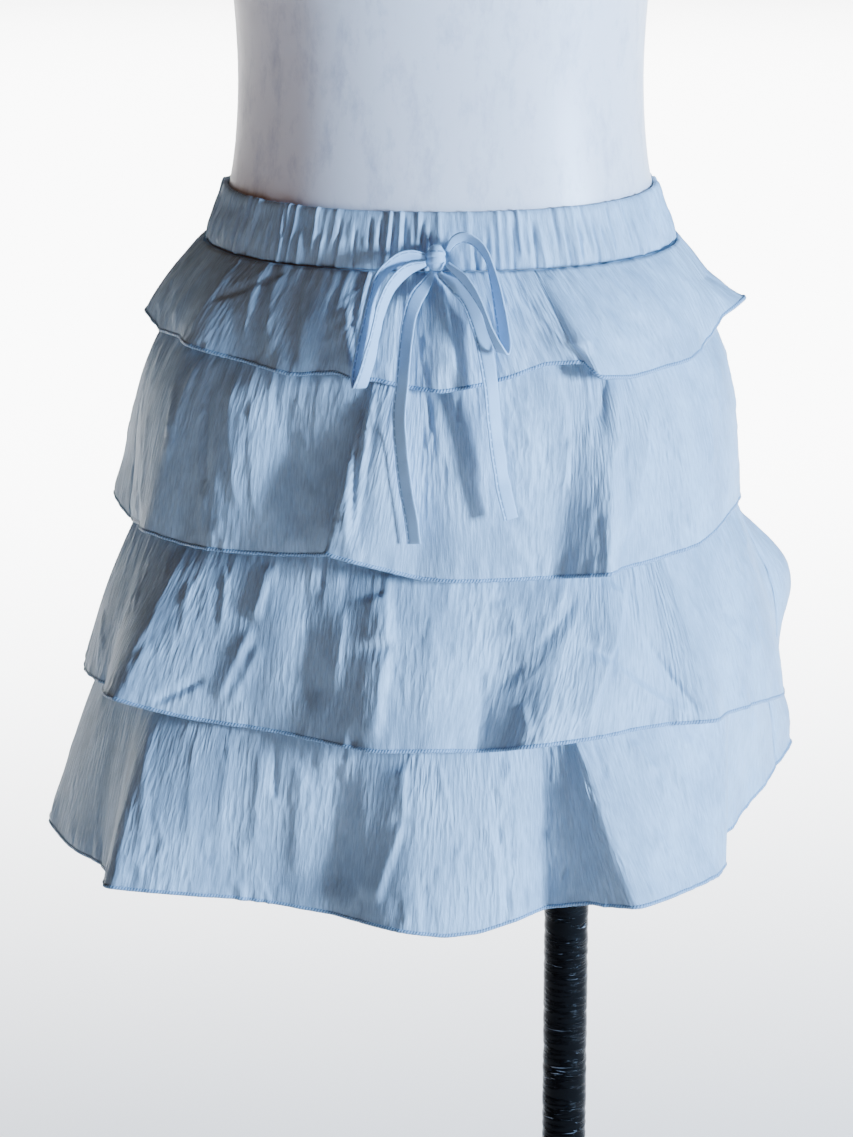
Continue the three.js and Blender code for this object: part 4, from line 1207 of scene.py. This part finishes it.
def turned(node, name, sides, bevel, bore=0.0):
    """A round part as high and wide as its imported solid, with rounded rims and a bore."""
    lo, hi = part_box(node)
    centre = ((lo[0] + hi[0]) / 2, (lo[1] + hi[1]) / 2)
    radius = (hi[0] - lo[0]) / 2
    bpy.ops.object.select_all(action="DESELECT")
    bpy.ops.mesh.primitive_cylinder_add(
        vertices=sides, radius=radius, depth=hi[2] - lo[2], location=(*centre, (lo[2] + hi[2]) / 2))
    piece = bpy.context.active_object
    piece.name = name
    bpy.ops.object.transform_apply(location=True, rotation=True, scale=True)
    bpy.ops.object.mode_set(mode="EDIT")
    if bore:
        bpy.ops.mesh.select_all(action="DESELECT")
        bpy.ops.mesh.select_mode(type="FACE")
        bpy.ops.object.mode_set(mode="OBJECT")
        for face in piece.data.polygons:
            face.select = abs(face.normal.z) > 0.9
        bpy.ops.object.mode_set(mode="EDIT")
        bpy.ops.mesh.inset(thickness=radius - bore, use_boundary=True)
        bpy.ops.mesh.bridge_edge_loops()
    else:
        bpy.ops.object.mode_set(mode="OBJECT")
        for face in piece.data.polygons:
            face.select = face.normal.z > 0.9
        bpy.ops.object.mode_set(mode="EDIT")
        bpy.ops.mesh.inset(thickness=radius * 0.06)
        bpy.ops.mesh.inset(thickness=radius * 0.5)
    bpy.ops.object.mode_set(mode="OBJECT")
    rim = piece.modifiers.new("rim", "BEVEL")
    rim.width, rim.segments, rim.limit_method, rim.angle_limit = bevel, 4, "ANGLE", math.radians(50)
    bpy.ops.object.modifier_apply(modifier=rim.name)
    bpy.ops.object.shade_smooth_by_angle(angle=math.radians(35))
    wear(piece, powder_coat)
    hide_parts(node)
    print(name, "faces:", len(piece.data.polygons))


BORE = POLE_RADIUS + 0.4 * MM
turned("stand_base", "stand_base_plate", 96, 3 * MM)
turned("stand_collar", "stand_collar_ring", 48, 1.6 * MM, bore=BORE)
turned("form_socket", "form_socket_ring", 48, 1.6 * MM, bore=BORE)

# %% [markdown]
# ## Floor and light
# A plain pale floor runs on as the backdrop. One large soft light stands to the right in front, like a tall
# window, so each fold has a lit side and a shaded one. A faint warm fill keeps the shaded side readable.
# The floor glows a little, like a lit cove, so it stays near white in front too.

# %% Floor


def build_floor():
    bpy.ops.object.select_all(action="DESELECT")
    bpy.ops.mesh.primitive_plane_add(size=30, location=(0, 4, -0.2 * MM))
    floor = bpy.context.active_object
    floor.name = "floor"
    material, tree = new_material("pale painted floor")
    mottled = noise(tree, own_place(tree), 2.5)
    finish_material(
        tree, Base_Color=blended(tree, mottled, "#f4f4f4", "#f9f9f9"), Roughness=0.9,
        Specular_IOR_Level=0.1, Emission_Color=srgb("#f4f4f4"), Emission_Strength=0.36)
    floor.data.materials.append(material)
    return floor


print("floor:", build_floor().name)

# %% Light


def soft_light(name, place, aim, size, power, colour):
    data = bpy.data.lights.new(name, "AREA")
    data.shape, data.size, data.size_y = "RECTANGLE", *size
    data.energy, data.color = power, srgb(colour)[:3]
    light = bpy.data.objects.new(name, data)
    light.location = place
    light.rotation_euler = (Vector(aim) - Vector(place)).to_track_quat("-Z", "Y").to_euler()
    bpy.context.scene.collection.objects.link(light)
    return light


SKIRT_MIDDLE = (0, 0, WAIST - 0.2)
soft_light("window", (2.08, -1.33, WAIST + 0.15), SKIRT_MIDDLE, (0.32, 0.5), 215, "#aed3ff")
soft_light("room", (-0.7, -2.9, WAIST + 0.9), SKIRT_MIDDLE, (2.0, 2.0), 4, "#ff8c40")
backdrop_light = soft_light("backdrop", (0.3, 3.4, 3.6), (0.3, 3.6, 0), (5, 5), 850, "#ffffff")
backdrop_light.data.spread = math.radians(50)
world = bpy.data.worlds.new("studio")
world.use_nodes = True
world.node_tree.nodes["Background"].inputs["Color"].default_value = srgb("#ffd3a4")
world.node_tree.nodes["Background"].inputs["Strength"].default_value = 0.05
bpy.context.scene.world = world
